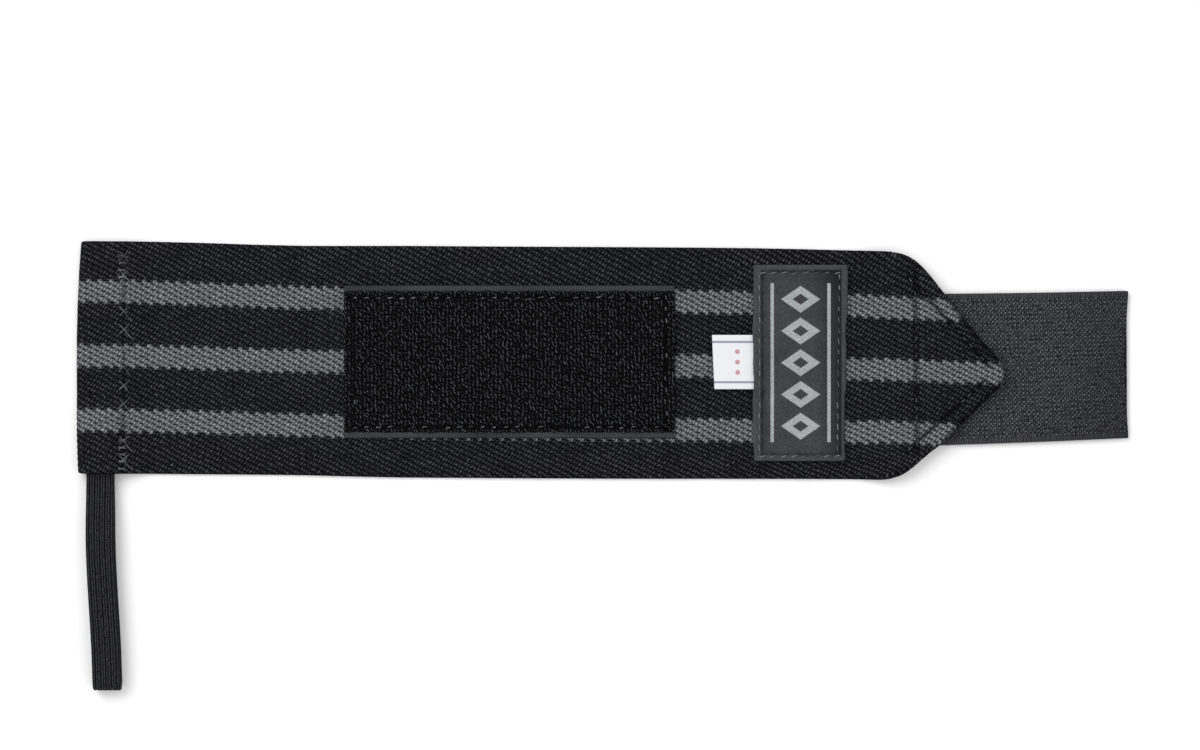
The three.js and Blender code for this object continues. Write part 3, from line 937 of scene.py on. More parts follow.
def tape_finish():
    finish = Finish("woven_tape", roughness=0.65, specular=0.1)
    u, v = finish.cloth()
    u_drawn = u + v * 0.06 + finish.noise(u, v, 4, 2, 1) * 0.6
    v_drawn = v + finish.noise(u, v, 3, 2, 2) * 0.7
    pale, pale_dice = speck(finish, u_drawn, v_drawn, *PALE_SPECK)
    dull, dull_dice = speck(finish, u_drawn, v_drawn, *DULL_SPECK)
    rib = u_drawn.wave(TAPE_PITCH / 2) * (v_drawn.wave(TAPE_PITCH, 1) * 0.5 + 0.5)
    fibre = finish.noise(u * 2, v, 0.3, 3, 6)
    slits = finish.noise((u - v * 0.2) * 2.2, v * 0.75, 0.75, 2, 9)
    # The specks are partly painted highlights: floats that lean different ways catch the light as pale or
    # dull.
    specks = pale * (0.4 + pale_dice * 0.9) + dull * dull_dice * 0.9
    field = (0.1 + rib * 0.2 + fibre * 0.5 + slits * 1.5 + specks).clamped()
    ragged = abs(v) + finish.noise(u * 2, v * 0.4, 0.6, 2, 12) * 1.4
    edge = ragged.ramp(FIELD_HALF - 0.25, FIELD_HALF + 0.25)
    seam = (1 - abs(ragged - FIELD_HALF).ramp(0, 0.5)) * 0.06
    uneven = finish.noise(u * 1.6, v * 0.12, 0.6, 1, 15)
    ribs = u.wave(SELVEDGE_PITCH, fibre * 2) * 0.1 + 0.25 + fibre * 0.4 + uneven * 0.7
    light = (field * (1 - edge) + ribs * edge - seam).clamped()
    x, y, _ = finish.place()
    # Painted shade: the tape is darker towards its free end and its lower right corner.
    at_end, at_corner = x.ramp(144, 172), (x - y).ramp(112, 170)
    shade = at_end * 0.26 + at_corner * 0.22
    colour = finish.mix((light * (1 - shade)).clamped(), *TAPE_TONES)
    return finish.paint(colour, height=pale * 0.8 + dull * 0.5 + rib * 0.3 + fibre * 0.4, depth=0.14)


tape = tape_finish()

# %% [markdown]
# The tape's outline comes from the solid: its sides lean a little, and its free end dips in the middle. A
# grid is stretched between those edges, just under the solid's top, and the floats stand up from there.

# %% Hook tab
TAPE_THICKNESS = 1.0
TAPE_RELIEF = 0.14
TAPE_DROP = 0.06
TAPE_STEP = TAPE_PITCH / 4
TAPE_MARGIN = 0.5
RELIEF_FADE = 0.3
END_PROBE = 1.6
END_HEIGHT = 1.5
END_PULL = 12

tab = solids["hook_tab"]


def tape_height(along, across):
    floats = np.cos(TURN * along / TAPE_PITCH) * np.cos(TURN * across / TAPE_PITCH) * 0.5
    fade = np.maximum(ease(np.abs(across), FIELD_HALF + RELIEF_FADE, FIELD_HALF), 0.5)
    return np.where(np.abs(across) > FIELD_HALF, 0.4, floats) * fade


def tab_grid():
    stations = with_ends(0, tab.size[0], TAPE_STEP, TAPE_THICKNESS)
    across = np.arange(TAPE_MARGIN - TAPE_WIDTH / 2, TAPE_WIDTH / 2 - TAPE_MARGIN, TAPE_STEP)
    share = (across + TAPE_WIDTH / 2) / TAPE_WIDTH
    grid = np.empty((len(stations), len(across), 3))
    for i, along in enumerate(stations):
        low, high = tab.slice(min(tab.low[0] + along, tab.high[0] - END_PROBE))
        grid[i, :, 1] = low + share * (high - low)
    corner = [Vector((tab.high[0], y, END_HEIGHT)) for y in grid[-1, :, 1]]
    ends = [tab.meet((FAR, *place.yz), (-1, 0, 0), place).x for place in corner]
    reach = (np.array(ends) - tab.low[0]) / tab.size[0]
    pull = ease(stations, stations[-1] - END_PULL, stations[-1])[:, None]
    grid[..., 0] = tab.low[0] + stations[:, None] * (1 - pull + pull * reach)
    grid[..., 2] = tab.high[2] - TAPE_DROP + tape_height(stations[:, None], across[None]) * TAPE_RELIEF
    return grid, places_on(stations, across)


hook_tape = cloth_piece("hook_tape", *tab_grid(), TAPE_THICKNESS, tape)
dress(hook_tape, "hook_tape", "hook_tab")

# %% [markdown]
# The patch is a woven ground with two plain selvedges and a field of looped pile. First the ground: a thin
# slab as high as the solid's selvedges, nearly black where the pile will stand, because little light reaches
# down between real loops.

# %% Pile ground
PATCH_GROUND = 1.0
PATCH_SELVEDGE = 2.1
PATCH_STEP = 1.2
PATCH_COLUMNS = 49
PATCH_WAVES = 0.2
GROUND_PITCH = 0.75
GROUND_TONES = ((5, 5, 6), (80, 81, 84))

patch = solids["loop_patch"]
patch_half = patch.size[1] / 2
ground_top = patch.low[2] + PATCH_GROUND


def ground_finish():
    finish = Finish("pile_ground", roughness=0.75, specular=0.08)
    u, v = finish.cloth()
    fibre = finish.noise(u * 2.4, v, 0.45, 3, 4)
    ribs = u.wave(GROUND_PITCH, fibre * 4)
    ragged = abs(v) + finish.noise(u * 1.4, v * 0.3, 1.5, 2, 9) * 1.1
    edge = ragged.ramp(patch_half - PATCH_SELVEDGE, patch_half - PATCH_SELVEDGE + 0.35)
    # Painted shade: the patch is darker along its outermost half millimetre, where its edge turns down.
    hem = 1 - abs(v).ramp(patch_half - 0.5, patch_half) * 0.5
    worn = finish.noise(u, v, 14, 2, 8)
    light = ((0.46 + ribs * 0.14 + fibre * 0.7 + worn * 0.5) * edge * hem).clamped()
    return finish.paint(finish.mix(light, *GROUND_TONES), height=ribs * 0.4 + fibre, depth=0.12)


def ground_grid():
    stations = with_ends(patch.low[0], patch.high[0], PATCH_STEP, PATCH_GROUND)
    across = np.linspace(-1, 1, PATCH_COLUMNS) * (patch_half - PATCH_GROUND / 2)
    x, y = np.meshgrid(stations, across + patch.middle[1], indexing="ij")
    grid = np.stack([x, y, ground_top + waviness(x, y) * PATCH_WAVES], axis=-1)
    return grid, places_on(stations, across)


patch_cloth = cloth_piece("pile_ground", *ground_grid(), PATCH_GROUND, ground_finish())
dress(patch_cloth, "pile_tape", "loop_patch")

# %% [markdown]
# Geometry Nodes grow what repeats. A Tree is a node tree with named inputs. Growing runs it on a small base
# mesh and keeps the result as a plain mesh, so that nothing depends on a live modifier.

# %% Growing with nodes
class Tree(Nodes):
    def __init__(self, name, **inputs):
        self.tree = bpy.data.node_groups.new(name, "GeometryNodeTree")
        sockets = self.tree.interface
        sockets.new_socket("Geometry", in_out="INPUT", socket_type="NodeSocketGeometry")
        self.names = {}
        for label, kind in inputs.items():
            socket = sockets.new_socket(label, in_out="INPUT", socket_type="NodeSocket" + kind)
            self.names[label] = socket.identifier
        sockets.new_socket("Geometry", in_out="OUTPUT", socket_type="NodeSocketGeometry")
        self.given = self.tree.nodes.new("NodeGroupInput").outputs
        self.result = self.tree.nodes.new("NodeGroupOutput").inputs[0]

    def vector(self, operation, sockets):
        return self.add("ShaderNodeVectorMath", sockets, operation=operation)

    def random(self, low, high, salt):
        """A random vector for each point, between two vectors. Each salt gives other draws."""
        seed = Wire(self, self.given["Seed"]) + salt
        sockets = {"Min": low, "Max": high, "Seed": seed}
        return self.add("FunctionNodeRandomValue", sockets, data_type="FLOAT_VECTOR")[0]

    def spread(self, limit, salt):
        """A random vector for each point, up to the limit either way."""
        return self.random(self.vector("SCALE", {0: limit, "Scale": -1.0})[0], limit, salt)

    def end(self, points, instance, rotation, scale):
        """Sets a copy on each point, makes them real, gives them the material and ends the tree."""
        sockets = {"Points": points, "Instance": instance, "Rotation": rotation, "Scale": scale}
        copies = self.add("GeometryNodeInstanceOnPoints", sockets)[0]
        real = self.add("GeometryNodeRealizeInstances", {0: copies})[0]
        painted = self.add("GeometryNodeSetMaterial", {0: real, "Material": self.given["Material"]})[0]
        self.tree.links.new(painted, self.result)


def grow(name, tree, base, **values):
    """Runs a tree on a base mesh and returns the result as a plain object."""
    piece = add_object(name, base)
    modifier = piece.modifiers.new("growth", "NODES")
    modifier.node_group = tree.tree
    for label, value in values.items():
        modifier[tree.names[label]] = value
    graph = bpy.context.evaluated_depsgraph_get()
    mesh = bpy.data.meshes.new_from_object(piece.evaluated_get(graph))
    piece.modifiers.remove(modifier)
    piece.data = mesh
    mesh.shade_smooth()
    return piece


print("tree helpers ready")

# %% [markdown]
# Pile and hooks are the same rule: a field of tufts in rows, each moved, turned and sized a little by
# chance, and pressed flatter near a seam. They stand on a jittered grid rather than at random, because both
# tapes are woven in rows.

# %% The tufts tree
def tufts_tree():
    tree = Tree(
        "tufts", Length="Float", Width="Float", Columns="Int", Rows="Int", Jitter="Vector", Turn="Vector",
        Smallest="Vector", Largest="Vector", Seed="Int", Centre="Vector", Seam="Object", Reach="Float",
        Pressed="Float", Tuft="Object", Material="Material",
    )
    given = tree.given
    sockets = {0: given["Length"], 1: given["Width"], 2: given["Columns"], 3: given["Rows"]}
    field = tree.add("GeometryNodeMeshGrid", sockets)[0]
    jitter = tree.spread(given["Jitter"], 1)
    moved = tree.add("GeometryNodeSetPosition", {"Geometry": field, "Offset": jitter})[0]
    placed = tree.add("GeometryNodeTransform", {"Geometry": moved, "Translation": given["Centre"]})[0]
    seam = tree.add("GeometryNodeObjectInfo", {0: given["Seam"]})["Geometry"]
    near = tree.add("GeometryNodeProximity", {0: seam}, target_element="EDGES")["Distance"]
    press = tree.add("ShaderNodeMapRange", {0: near, 2: given["Reach"], 3: given["Pressed"], 4: 1.0})[0]
    flat = tree.add("ShaderNodeCombineXYZ", {0: 1.0, 1: 1.0, 2: press})[0]
    size = tree.random(given["Smallest"], given["Largest"], 3)
    scale = tree.vector("MULTIPLY", {0: size, 1: flat})[0]
    tuft = tree.add("GeometryNodeObjectInfo", {0: given["Tuft"]})["Geometry"]
    tree.end(placed, tuft, tree.spread(given["Turn"], 2), scale)
    return tree


tufts = tufts_tree()
print("tufts tree:", len(tufts.tree.nodes), "nodes, inputs", list(tufts.names))

# %% [markdown]
# The tree needs two helpers in the scene, a tuft to copy and the seams as bare edges. Both are taken out
# again once the field has grown.

# %% A field of tufts
SIDE_HINT = (1, 0.2, 0)
TUFT_TURNS = np.radians([0, 120, 240])
PRESSED = 0.4


def seam_object(name, lines, height):
    points = [(x * MM, y * MM, height * MM) for line in lines for x, y in line]
    mesh = bpy.data.meshes.new(name)
    mesh.from_pydata(points, [(i, i + 1) for i in range(0, len(points), 2)], [])
    return add_object(name, mesh)


def tuft_object(name, path, radius, finish):
    """One tuft: a thin three-sided tube of yarn along a path in millimetres."""
    path = np.array(path, dtype=float)
    along = unit(np.gradient(path, axis=0))
    side = unit(np.cross(along, SIDE_HINT))
    other = np.cross(along, side)
    ring = [path + radius * (side * math.cos(a) + other * math.sin(a)) for a in TUFT_TURNS]
    rings = np.stack(ring, axis=1)
    return strip(name, rings, np.zeros(rings.shape[:2] + (2,)), finish)


def grow_tufts(name, path, radius, finish, size, centre, count, jitter, lines, seam_height, reach, **chances):
    """A field of tufts, its size, centre and reaches in millimetres, pressed flatter near the seam lines."""
    tuft = tuft_object(name + "_tuft", path, radius, finish)
    seam = seam_object(name + "_seam", lines, seam_height)
    length, width = (float(side * MM) for side in size)
    piece = grow(
        name, tufts, bpy.data.meshes.new(name + "_base"), Length=length, Width=width, Columns=count[0],
        Rows=count[1], Jitter=[side * MM for side in jitter], Centre=[float(side * MM) for side in centre],
        Seam=seam, Reach=reach * MM, Pressed=PRESSED, Tuft=tuft, Material=finish, **chances,
    )
    bpy.data.objects.remove(tuft)
    bpy.data.objects.remove(seam)
    return piece


print("a tuft has", len(TUFT_TURNS), "sides")

# %% [markdown]
# Loop pile is curly yarn that rises from the ground and dives back in. From above each loop shows only its
# crown, a short bright stroke that mostly runs across the tape. So each tuft is one small arch with a
# sideways curl. The arches stand in close columns across the tape, and chance moves each along its column.

# %% Pile
PILE_COUNT = (88, 43)
PILE_MARGIN = 0.55
PILE_CURL = 0.24
PILE_SPAN = 1.2
PILE_RISE = 1.2
PILE_ROOT = 0.2
PILE_YARN = 0.21
PILE_DROP = 0.05
PILE_TONES = ((1, 1, 3), (98, 99, 103))
PATCH_SEAMS_PX = {
    "patch_top": ((350, 298), (668, 298)),
    "patch_bottom": ((350, 427), (668, 427)),
    "patch_left": ((355, 292), (355, 433)),
    "patch_right": ((666, 292), (666, 433)),
}


def pile_finish():
    finish = Finish("curly_pile", roughness=0.6, specular=0.03)
    x, y, z = finish.place()
    patchy = finish.noise(x, y, 6, 3, 1)
    grain = finish.noise(x * 1.3, y * 0.8, 0.8, 2, 3)
    # Painted light: each loop is lighter towards its crown, a painted highlight, and near black lower down,
    # painted shade between the loops.
    crown_highlight = (z - ground_top).ramp(0.4, 1.2)
    light = (crown_highlight * (0.53 + patchy * 0.3 + grain * 1.9)).clamped()
    return finish.paint(finish.mix(light, *PILE_TONES))


def curl(a):
    """A point of the arch, by its angle from one root at 0 to the other at half a turn."""
    return PILE_CURL * math.sin(2 * a), -math.cos(a) * PILE_SPAN / 2, math.sin(a) * PILE_RISE - PILE_ROOT


patch_seams = photo_seams(PATCH_SEAMS_PX)
pile = grow_tufts(
    "pile", [curl(a) for a in np.linspace(0, math.pi, 6)], PILE_YARN, pile_finish(),
    size=patch.size[:2] - 2 * np.array([PILE_MARGIN, PATCH_SELVEDGE + PILE_MARGIN]),
    centre=(*patch.middle[:2], ground_top - PILE_DROP), count=PILE_COUNT, jitter=(0.14, 0.45, 0.05),
    lines=patch_seams.values(), seam_height=ground_top, reach=0.9, Turn=(0.35, 0.35, 0.42),
    Smallest=(0.75, 0.7, 0.7), Largest=(1.2, 1.25, 1.1), Seed=7,
)
dress(pile, "pile_tape")

# %% [markdown]
# The hooks stand under the tab, out of the camera's sight, but a reusable part is turned over. Each is a
# short bent bristle, cut open on one side. The same tree grows them, in straighter rows.

# %% Hooks
HOOK_COUNT = (46, 32)
HOOK_MARGIN = 2.6
HOOK_BRISTLE = 0.085
HOOK_ROOT = 1.0
HOOK_TONES = ((16, 16, 18), (60, 61, 64))
HOOK_PATH = (
    (0, 0, 0.12), (0, 0.02, -0.35), (0, 0.06, -0.72), (0, 0.26, -0.92), (0, 0.48, -0.74), (0, 0.5, -0.52),
)


def hook_finish():
    finish = Finish("hook_bristles", roughness=0.35, specular=0.5)
    x, y, z = finish.place()
    # Painted shade: the bristles are darker near their roots at the tape and lighter towards their tips.
    light = (finish.noise(x, y, 1.5, 2, 3) + 0.4 + (1 - z.ramp(0, 1)) * 0.3).clamped()
    return finish.paint(finish.mix(light, *HOOK_TONES))


hooks = grow_tufts(
    "hooks", HOOK_PATH, HOOK_BRISTLE, hook_finish(),
    size=np.array([tab.size[0], TAPE_WIDTH]) - 2 * HOOK_MARGIN, centre=(*tab.middle[:2], HOOK_ROOT),
    count=HOOK_COUNT, jitter=(0.12, 0.12, 0.0), lines=[seams[name] for name in POINT_SEAMS_PX],
    seam_height=HOOK_ROOT, reach=1.0, Turn=(0.12, 0.12, 0.4),
    Smallest=(0.95, 0.95, 0.92), Largest=(1.05, 1.05, 1.0), Seed=3,
)
dress(hooks, "hook_tape")

# %% [markdown]
# The label is dense woven satin across the band. In its middle it carries a plain woven motif of lozenges
# between two lines. It is drawn from the distance to each shape, because such edges stay sharp and the
# finish can still bend them by a thread.

# %% Label's motif
LOZENGE_PITCH = 10.4
LOZENGE_HALF = (6.4, 4.4)
LOZENGE_EDGE = (0.97, 1.03)
LOZENGE_HOLE = (0.38, 0.44)
MOTIF_REACH = (26.0, 26.1)
MOTIF_LINE = 9.3
MOTIF_LINE_EDGE = (0.5, 0.62)


def lozenges(u, v):
    """1 on five lozenges in a column and on the two lines beside them."""
    from_middle = abs(v - v.nearest(LOZENGE_PITCH, 2))
    far = abs(u) * (1 / LOZENGE_HALF[0]) + from_middle * (1 / LOZENGE_HALF[1])
    lozenge = (1 - far.ramp(*LOZENGE_EDGE)) - (1 - far.ramp(*LOZENGE_HOLE))
    line = (1 - abs(abs(u) - MOTIF_LINE).ramp(*MOTIF_LINE_EDGE)) * (1 - abs(v).ramp(*MOTIF_REACH))
    return lozenge.clamped().most(line) * 0.97


print("the motif is", 2 * MOTIF_REACH[0], "mm long")

# %% [markdown]
# Round the motif the satin gets painted shade where the label turns down: at the thread, towards the right,
# and a little at its left and its upper end. Outside the thread runs a paler ribbed margin.

# %% Label finish
LABEL_MARGIN = ((13.2, 13.7), (30.2, 30.7), (12.8, 13.3))
LABEL_THREAD = ((12.2, 12.9), (29.2, 29.9), (11.9, 12.5))
SATIN_PITCH = 1.15
MARGIN_PITCH = 0.7
LABEL_TONES = ((14, 15, 17), (72, 73, 76))
MOTIF_TONES = ((112, 115, 118), (180, 183, 185))


def label_finish():
    finish = Finish("label_satin", roughness=0.55, specular=0.15)
    u, v = finish.cloth()

    def outside(right, end, left):
        return u.ramp(*right).most(abs(v).ramp(*end)).most((-1 * u).ramp(*left))

    motif = lozenges(u + finish.noise(u, v, 0.6, 2, 1) * 0.16, v + finish.noise(u, v, 0.6, 2, 2) * 0.16)
    twill = finish.noise((u + v) * 1.7, (u - v) * 0.7, 0.42, 2, 5) + finish.noise(u, v, 0.9, 2, 9) * 0.8
    cloudy = finish.noise(u, v, 7, 2, 6)
    pucker = finish.noise(u * 1.5, v * 1.5, 2.2, 2, 8)
    margin = outside(*LABEL_MARGIN)
    ribs = v.wave(MARGIN_PITCH) * 0.12 * u.ramp(*LABEL_MARGIN[0])
    to_right = (u + pucker * 3 + v * 0.05).ramp(4.5, 12.2) * (0.72 + cloudy * 0.5)
    to_left = (-1 * u + pucker * 2).ramp(10.6, 12.8) * 0.55
    to_ends = (v + pucker * 2).ramp(22, 30.2) * 0.24
    at_thread = outside(*LABEL_THREAD) * (0.4 + pucker * 1.6)
    # Painted shade where the label turns down, kept off the margin.
    shade = (to_right + to_left + to_ends + at_thread).clamped() * (1 - margin)
    light = ((0.52 + twill * 0.9 + cloudy * 0.4 + ribs + margin * 0.1) * (1 - shade)).clamped()
    pale_light = (0.5 + twill * 0.8 + cloudy * 0.3 + (u + v).wave(SATIN_PITCH) * 0.16).clamped()
    colour = finish.mix(motif, finish.mix(light, *LABEL_TONES), finish.mix(pale_light, *MOTIF_TONES))
    return finish.paint(colour, height=motif * 0.5 + twill * 0.8 + ribs, depth=0.1)


satin = label_finish()

# %% [markdown]
# The label crowns between its rows of stitches and puckers at the thread, so its mesh takes the solid's
# crown and sinks at the seams, here more and there less.

# %% Label
LABEL_THICKNESS = 1.0
LABEL_STEP = 0.8
LABEL_COLUMNS = 46
LABEL_END = 0.1
LABEL_EDGE = 0.5
LABEL_PROBE = 1.2
SINK_WIDTH = 0.9
SINK_PITCH = 3.5
SINK_DEPTH = (0.4, 0.16)
LABEL_EDGE_WAVES = ((math.inf, 1.9 * TURN, 0.12, 0), (math.inf, 4.3 * TURN, 0.16, 1))
LABEL_RIPPLES = ((math.inf, 6.3, 0.09, 1), (9, 11, 0.08, 0))
LABEL_SEAMS_PX = {
    "label_top": ((757, 273), (842, 273)),
    "label_bottom": ((757, 456), (838, 456)),
    "label_left": ((759, 272), (759, 456)),
    "label_right": ((839, 272), (837, 456)),
}

label = solids["sewn_label"]
label_seams = photo_seams(LABEL_SEAMS_PX)


def label_grid():
    down = with_ends(label.low[1] + LABEL_END, label.high[1] - LABEL_END, LABEL_STEP, LABEL_THICKNESS)
    share = np.linspace(0, 1, LABEL_COLUMNS)
    grid = np.empty((len(down), len(share), 3))
    for i, y in enumerate(down):
        inside = min(max(y, label.low[1] + LABEL_PROBE), label.high[1] - LABEL_PROBE)
        low, high = label.slice(inside, axis=1, across=0)
        wave = waviness(0, y, LABEL_EDGE_WAVES) * (2 * share - 1) ** 6
        x = low + LABEL_EDGE + share * (high - low - 2 * LABEL_EDGE) + wave
        grid[i] = [(a, y, label.top(a, inside, ground_top)) for a in x]
    grid[..., 2] = softened(softened(grid[..., 2], 2).T, 1).T
    x, y = grid[..., 0], grid[..., 1]
    depth = SINK_DEPTH[0] + SINK_DEPTH[1] * np.sin(TURN * (x + y) / SINK_PITCH)
    grid[..., 2] += waviness(x, y, LABEL_RIPPLES) - near_seams(x, y, label_seams, SINK_WIDTH) * depth
    return grid[::-1], (grid[..., :2] - label.middle[:2])[::-1]


sewn_label = cloth_piece("woven_label", *label_grid(), LABEL_THICKNESS, satin)
dress(sewn_label, "label_cloth", "sewn_label")

# %% [markdown]
# The tag is a short white ribbon. Its only figures are two thin woven border lines and a row of small dots,
# drawn from distances on the cloth, so they need no picture and stay sharp from near.

# %% Ribbon finish
TAG_LINE = 6.6
TAG_LINE_EDGE = (0.3, 0.42)
TAG_DOTS_AT = 5.2
TAG_DOT_PITCH = 3.4
TAG_DOT_EDGE = (0.55, 0.7)
RIBBON_TONES = ((196, 198, 201), (228, 229, 232))
TAG_LINE_COLOUR = (112, 122, 140)
TAG_DOT_COLOUR = (176, 120, 126)


def ribbon_finish():
    finish = Finish("white_ribbon", roughness=0.5, specular=0.35)
    u, v = finish.cloth()
    weft = finish.noise(u * 3.4, v * 0.8, 0.5, 2, 1)
    line = 1 - abs(abs(v) - TAG_LINE).ramp(*TAG_LINE_EDGE)
    dot = 1 - oval(u - TAG_DOTS_AT, v - v.nearest(TAG_DOT_PITCH, 1), 0, (1, 1)).ramp(*TAG_DOT_EDGE)
    ground = finish.mix((0.6 + weft * 0.9).clamped(), *RIBBON_TONES)
    lined = finish.mix(line * 0.85, ground, TAG_LINE_COLOUR)
    return finish.paint(finish.mix(dot * 0.85, lined, TAG_DOT_COLOUR), height=weft, depth=0.05)


ribbon_white = ribbon_finish()

# %% [markdown]
# The ribbon is folded in two, its fold at the free end and both ends caught under the label. It is one strip
# along a path: out on top, round the fold, and back below.

# %% Ribbon tag
RIBBON_PLY = 0.42
RIBBON_COLUMNS = 25
TAG_STEP = 0.6
TAG_PROBE = 0.1
TAG_FOLD_STEPS = 9
TAG_SKEW = 0.045
TAG_SKEW_START = 4
TAG_WAVES = ((9 * TURN, 3.1 * TURN, 0.03, math.pi / 2),)
TAG_PLACE_START = 4

tag = solids["ribbon_tag"]


def tag_line():
    """The ribbon's outer face down its middle, as (x, z) points."""
    open_x = np.arange(tag.high[0], tag.low[0] + TAG_STEP, -TAG_STEP)
    probes = [(min(x, tag.high[0] - TAG_PROBE), tag.middle[1]) for x in open_x]
    upper = np.array([(x, tag.top(*probe, ground_top)) for x, probe in zip(open_x, probes)])
    lower = np.array([(x, tag.bottom(*probe, patch.low[2])) for x, probe in zip(open_x, probes)])
    radius = (upper[-1, 1] - lower[-1, 1]) / 2
    angles = np.linspace(math.pi / 2, -math.pi / 2, TAG_FOLD_STEPS)[1:-1]
    around = np.stack([1 - np.cos(angles), 1 + np.sin(angles)], axis=1)
    fold = np.array([tag.low[0], lower[-1, 1]]) + radius * around
    return np.concatenate([upper, fold, lower[::-1]])


def tag_grid():
    across = np.linspace(1, -1, RIBBON_COLUMNS) * (tag.size[1] - RIBBON_PLY) / 2
    line = tag_line()
    x, z, run = line[:, :1], line[:, 1:], distances(line)
    grid = np.empty((len(line), len(across), 3))
    grid[..., 0] = x - across * TAG_SKEW * ease(x, tag.middle[0] + TAG_SKEW_START, tag.low[0])
    grid[..., 1] = tag.middle[1] + across
    grid[..., 2] = z + waviness(run[:, None], across, TAG_WAVES)
    return grid, places_on(run - TAG_PLACE_START, across), float(run[-1])


tag_top, tag_places, tag_length = tag_grid()
ribbon = cloth_piece("folded_ribbon", tag_top, tag_places, RIBBON_PLY, ribbon_white)
dress(ribbon, "tag_ribbon", "ribbon_tag")

# %% [markdown]
# Thread holds every piece. A stitch is a short run of thread, highest in its middle, that dives into the
# cloth at both ends. One tree makes them all: a bowed tube on each point of a bare mesh, turned along the
# point's own vector and stretched to its length.

# %% The stitch tree
STITCH_STEPS = 7
STITCH_SIDES = 6
STITCH_THINNING = 0.45


def stitch_tree():
    tree = Tree("stitches", Thread="Float", Dive="Float", Material="Material")
    given = tree.given
    ends = {"Start": (-0.5, 0, 0), "End": (0.5, 0, 0)}
    line = tree.add("GeometryNodeCurvePrimitiveLine", ends)[0]
    fine = tree.add("GeometryNodeResampleCurve", {"Curve": line, "Count": STITCH_STEPS})[0]
    factor = Wire(tree, tree.add("GeometryNodeSplineParameter")["Factor"])
    to_end = factor.step("MULTIPLY_ADD", 2.0, -1.0).step("POWER", 4.0)
    offset = tree.add("ShaderNodeCombineXYZ", {2: to_end * given["Dive"] * -1.0})[0]
    bowed = tree.add("GeometryNodeSetPosition", {"Geometry": fine, "Offset": offset})[0]
    sockets = {"Resolution": STITCH_SIDES, "Radius": Wire(tree, given["Thread"]) * 0.5}
    ring = tree.add("GeometryNodeCurvePrimitiveCircle", sockets)[0]
    thin = to_end.step("MULTIPLY_ADD", -STITCH_THINNING, 1.0)
    sockets = {"Curve": bowed, "Profile Curve": ring, "Scale": thin, "Fill Caps": True}
    stitch = tree.add("GeometryNodeCurveToMesh", sockets)[0]
    named = tree.add("GeometryNodeInputNamedAttribute", {"Name": "along"}, data_type="FLOAT_VECTOR")
    along = named["Attribute"]
    turn = tree.add("FunctionNodeAlignRotationToVector", {"Vector": along}, axis="X", pivot_axis="Z")[0]
    length = tree.vector("LENGTH", {0: along})["Value"]
    size = tree.add("ShaderNodeCombineXYZ", {0: length, 1: 1.0, 2: 1.0})[0]
    tree.end(given["Geometry"], stitch, turn, size)
    return tree


stitching = stitch_tree()
print("stitch tree:", len(stitching.tree.nodes), "nodes")

# %% [markdown]
# Seams are straight rows of dashes or zig-zags. Each stitch is its middle and its way, moved a little by
# chance, because no sewing is perfect.

# %% Rows of stitches
CHANCE_SEED = 5
LENGTHS = (0.85, 1.1)
ZIGZAG_WANDER = 0.09

chance = np.random.default_rng(CHANCE_SEED)


def row(line, pitch, share, slant=0.0, wander=0.0, lost=0.0):
    """Dashes (x, y, dx, dy) along a straight seam. Share is how much of the pitch shows, and lost how many of
    the dashes the cloth swallows."""
    start, end = np.array(line)
    length = math.hypot(*(end - start))
    run = (end - start) / length
    side = np.array([-run[1], run[0]])
    out = []
    for place in np.arange(pitch / 2, length, pitch):
        middle = start + run * place + side * chance.normal(0, wander)
        way = (run + side * slant) * pitch * share * chance.uniform(*LENGTHS)
        if chance.uniform() >= lost:
            out.append((*middle, *way))
    return out


def zigzag(low, high, pitch, strokes):
    """A zig-zag up a seam: in each pitch the same strokes, as (x, y, x, y) from the pitch's start."""
    out = []
    for start in np.arange(low, high - pitch / 2, pitch):
        for stroke in strokes:
            xa, ya, xb, yb = np.array(stroke) + chance.normal(0, ZIGZAG_WANDER, 4)
            out.append(((xa + xb) / 2, start + (ya + yb) / 2, xb - xa, yb - ya))
    return out


print("chance is seeded with", CHANCE_SEED)

# %% [markdown]
# The stitches are dropped onto the finished cloths, so none floats over a valley. Each lies as high as the
# cloth under its middle and its ends lets it, and sinks in a little.

# %% Sewing
STITCH_ENDS = (-0.45, 0.0, 0.45)
TWIST_PITCH = 0.36


def cover(*pieces):
    """Asks the finished pieces how high the cloth stands at a place, in millimetres."""
    trees = []
    for piece in pieces:
        points = [v.co / MM for v in piece.data.vertices]
        trees.append(BVHTree.FromPolygons(points, [face.vertices[:] for face in piece.data.polygons]))

    def height(x, y):
        hits = [tree.ray_cast(Vector((x, y, FAR)), Vector((0, 0, -1)))[0] for tree in trees]
        return max([hit.z for hit in hits if hit is not None], default=0.0)

    return height


def sew(name, stitches, height, finish, slot, thread, dive, sink):
    """One piece of thread from (x, y, dx, dy) stitches, lying on the cloth."""
    points, ways = [], []
    for x, y, dx, dy in stitches:
        ends = [height(x + dx * share, y + dy * share) for share in STITCH_ENDS]
        points.append((x, y, (ends[1] + max(ends)) / 2 + thread / 2 - sink))
        ways.append((dx, dy, 0.0))
    mesh = bpy.data.meshes.new(name + "_points")
    mesh.from_pydata((np.array(points) * MM).tolist(), [], [])
    along = mesh.attributes.new("along", "FLOAT_VECTOR", "POINT")
    along.data.foreach_set("vector", (np.array(ways) * MM).ravel())
    piece = grow(name, stitching, mesh, Thread=thread * MM, Dive=dive * MM, Material=finish)
    dress(piece, slot)


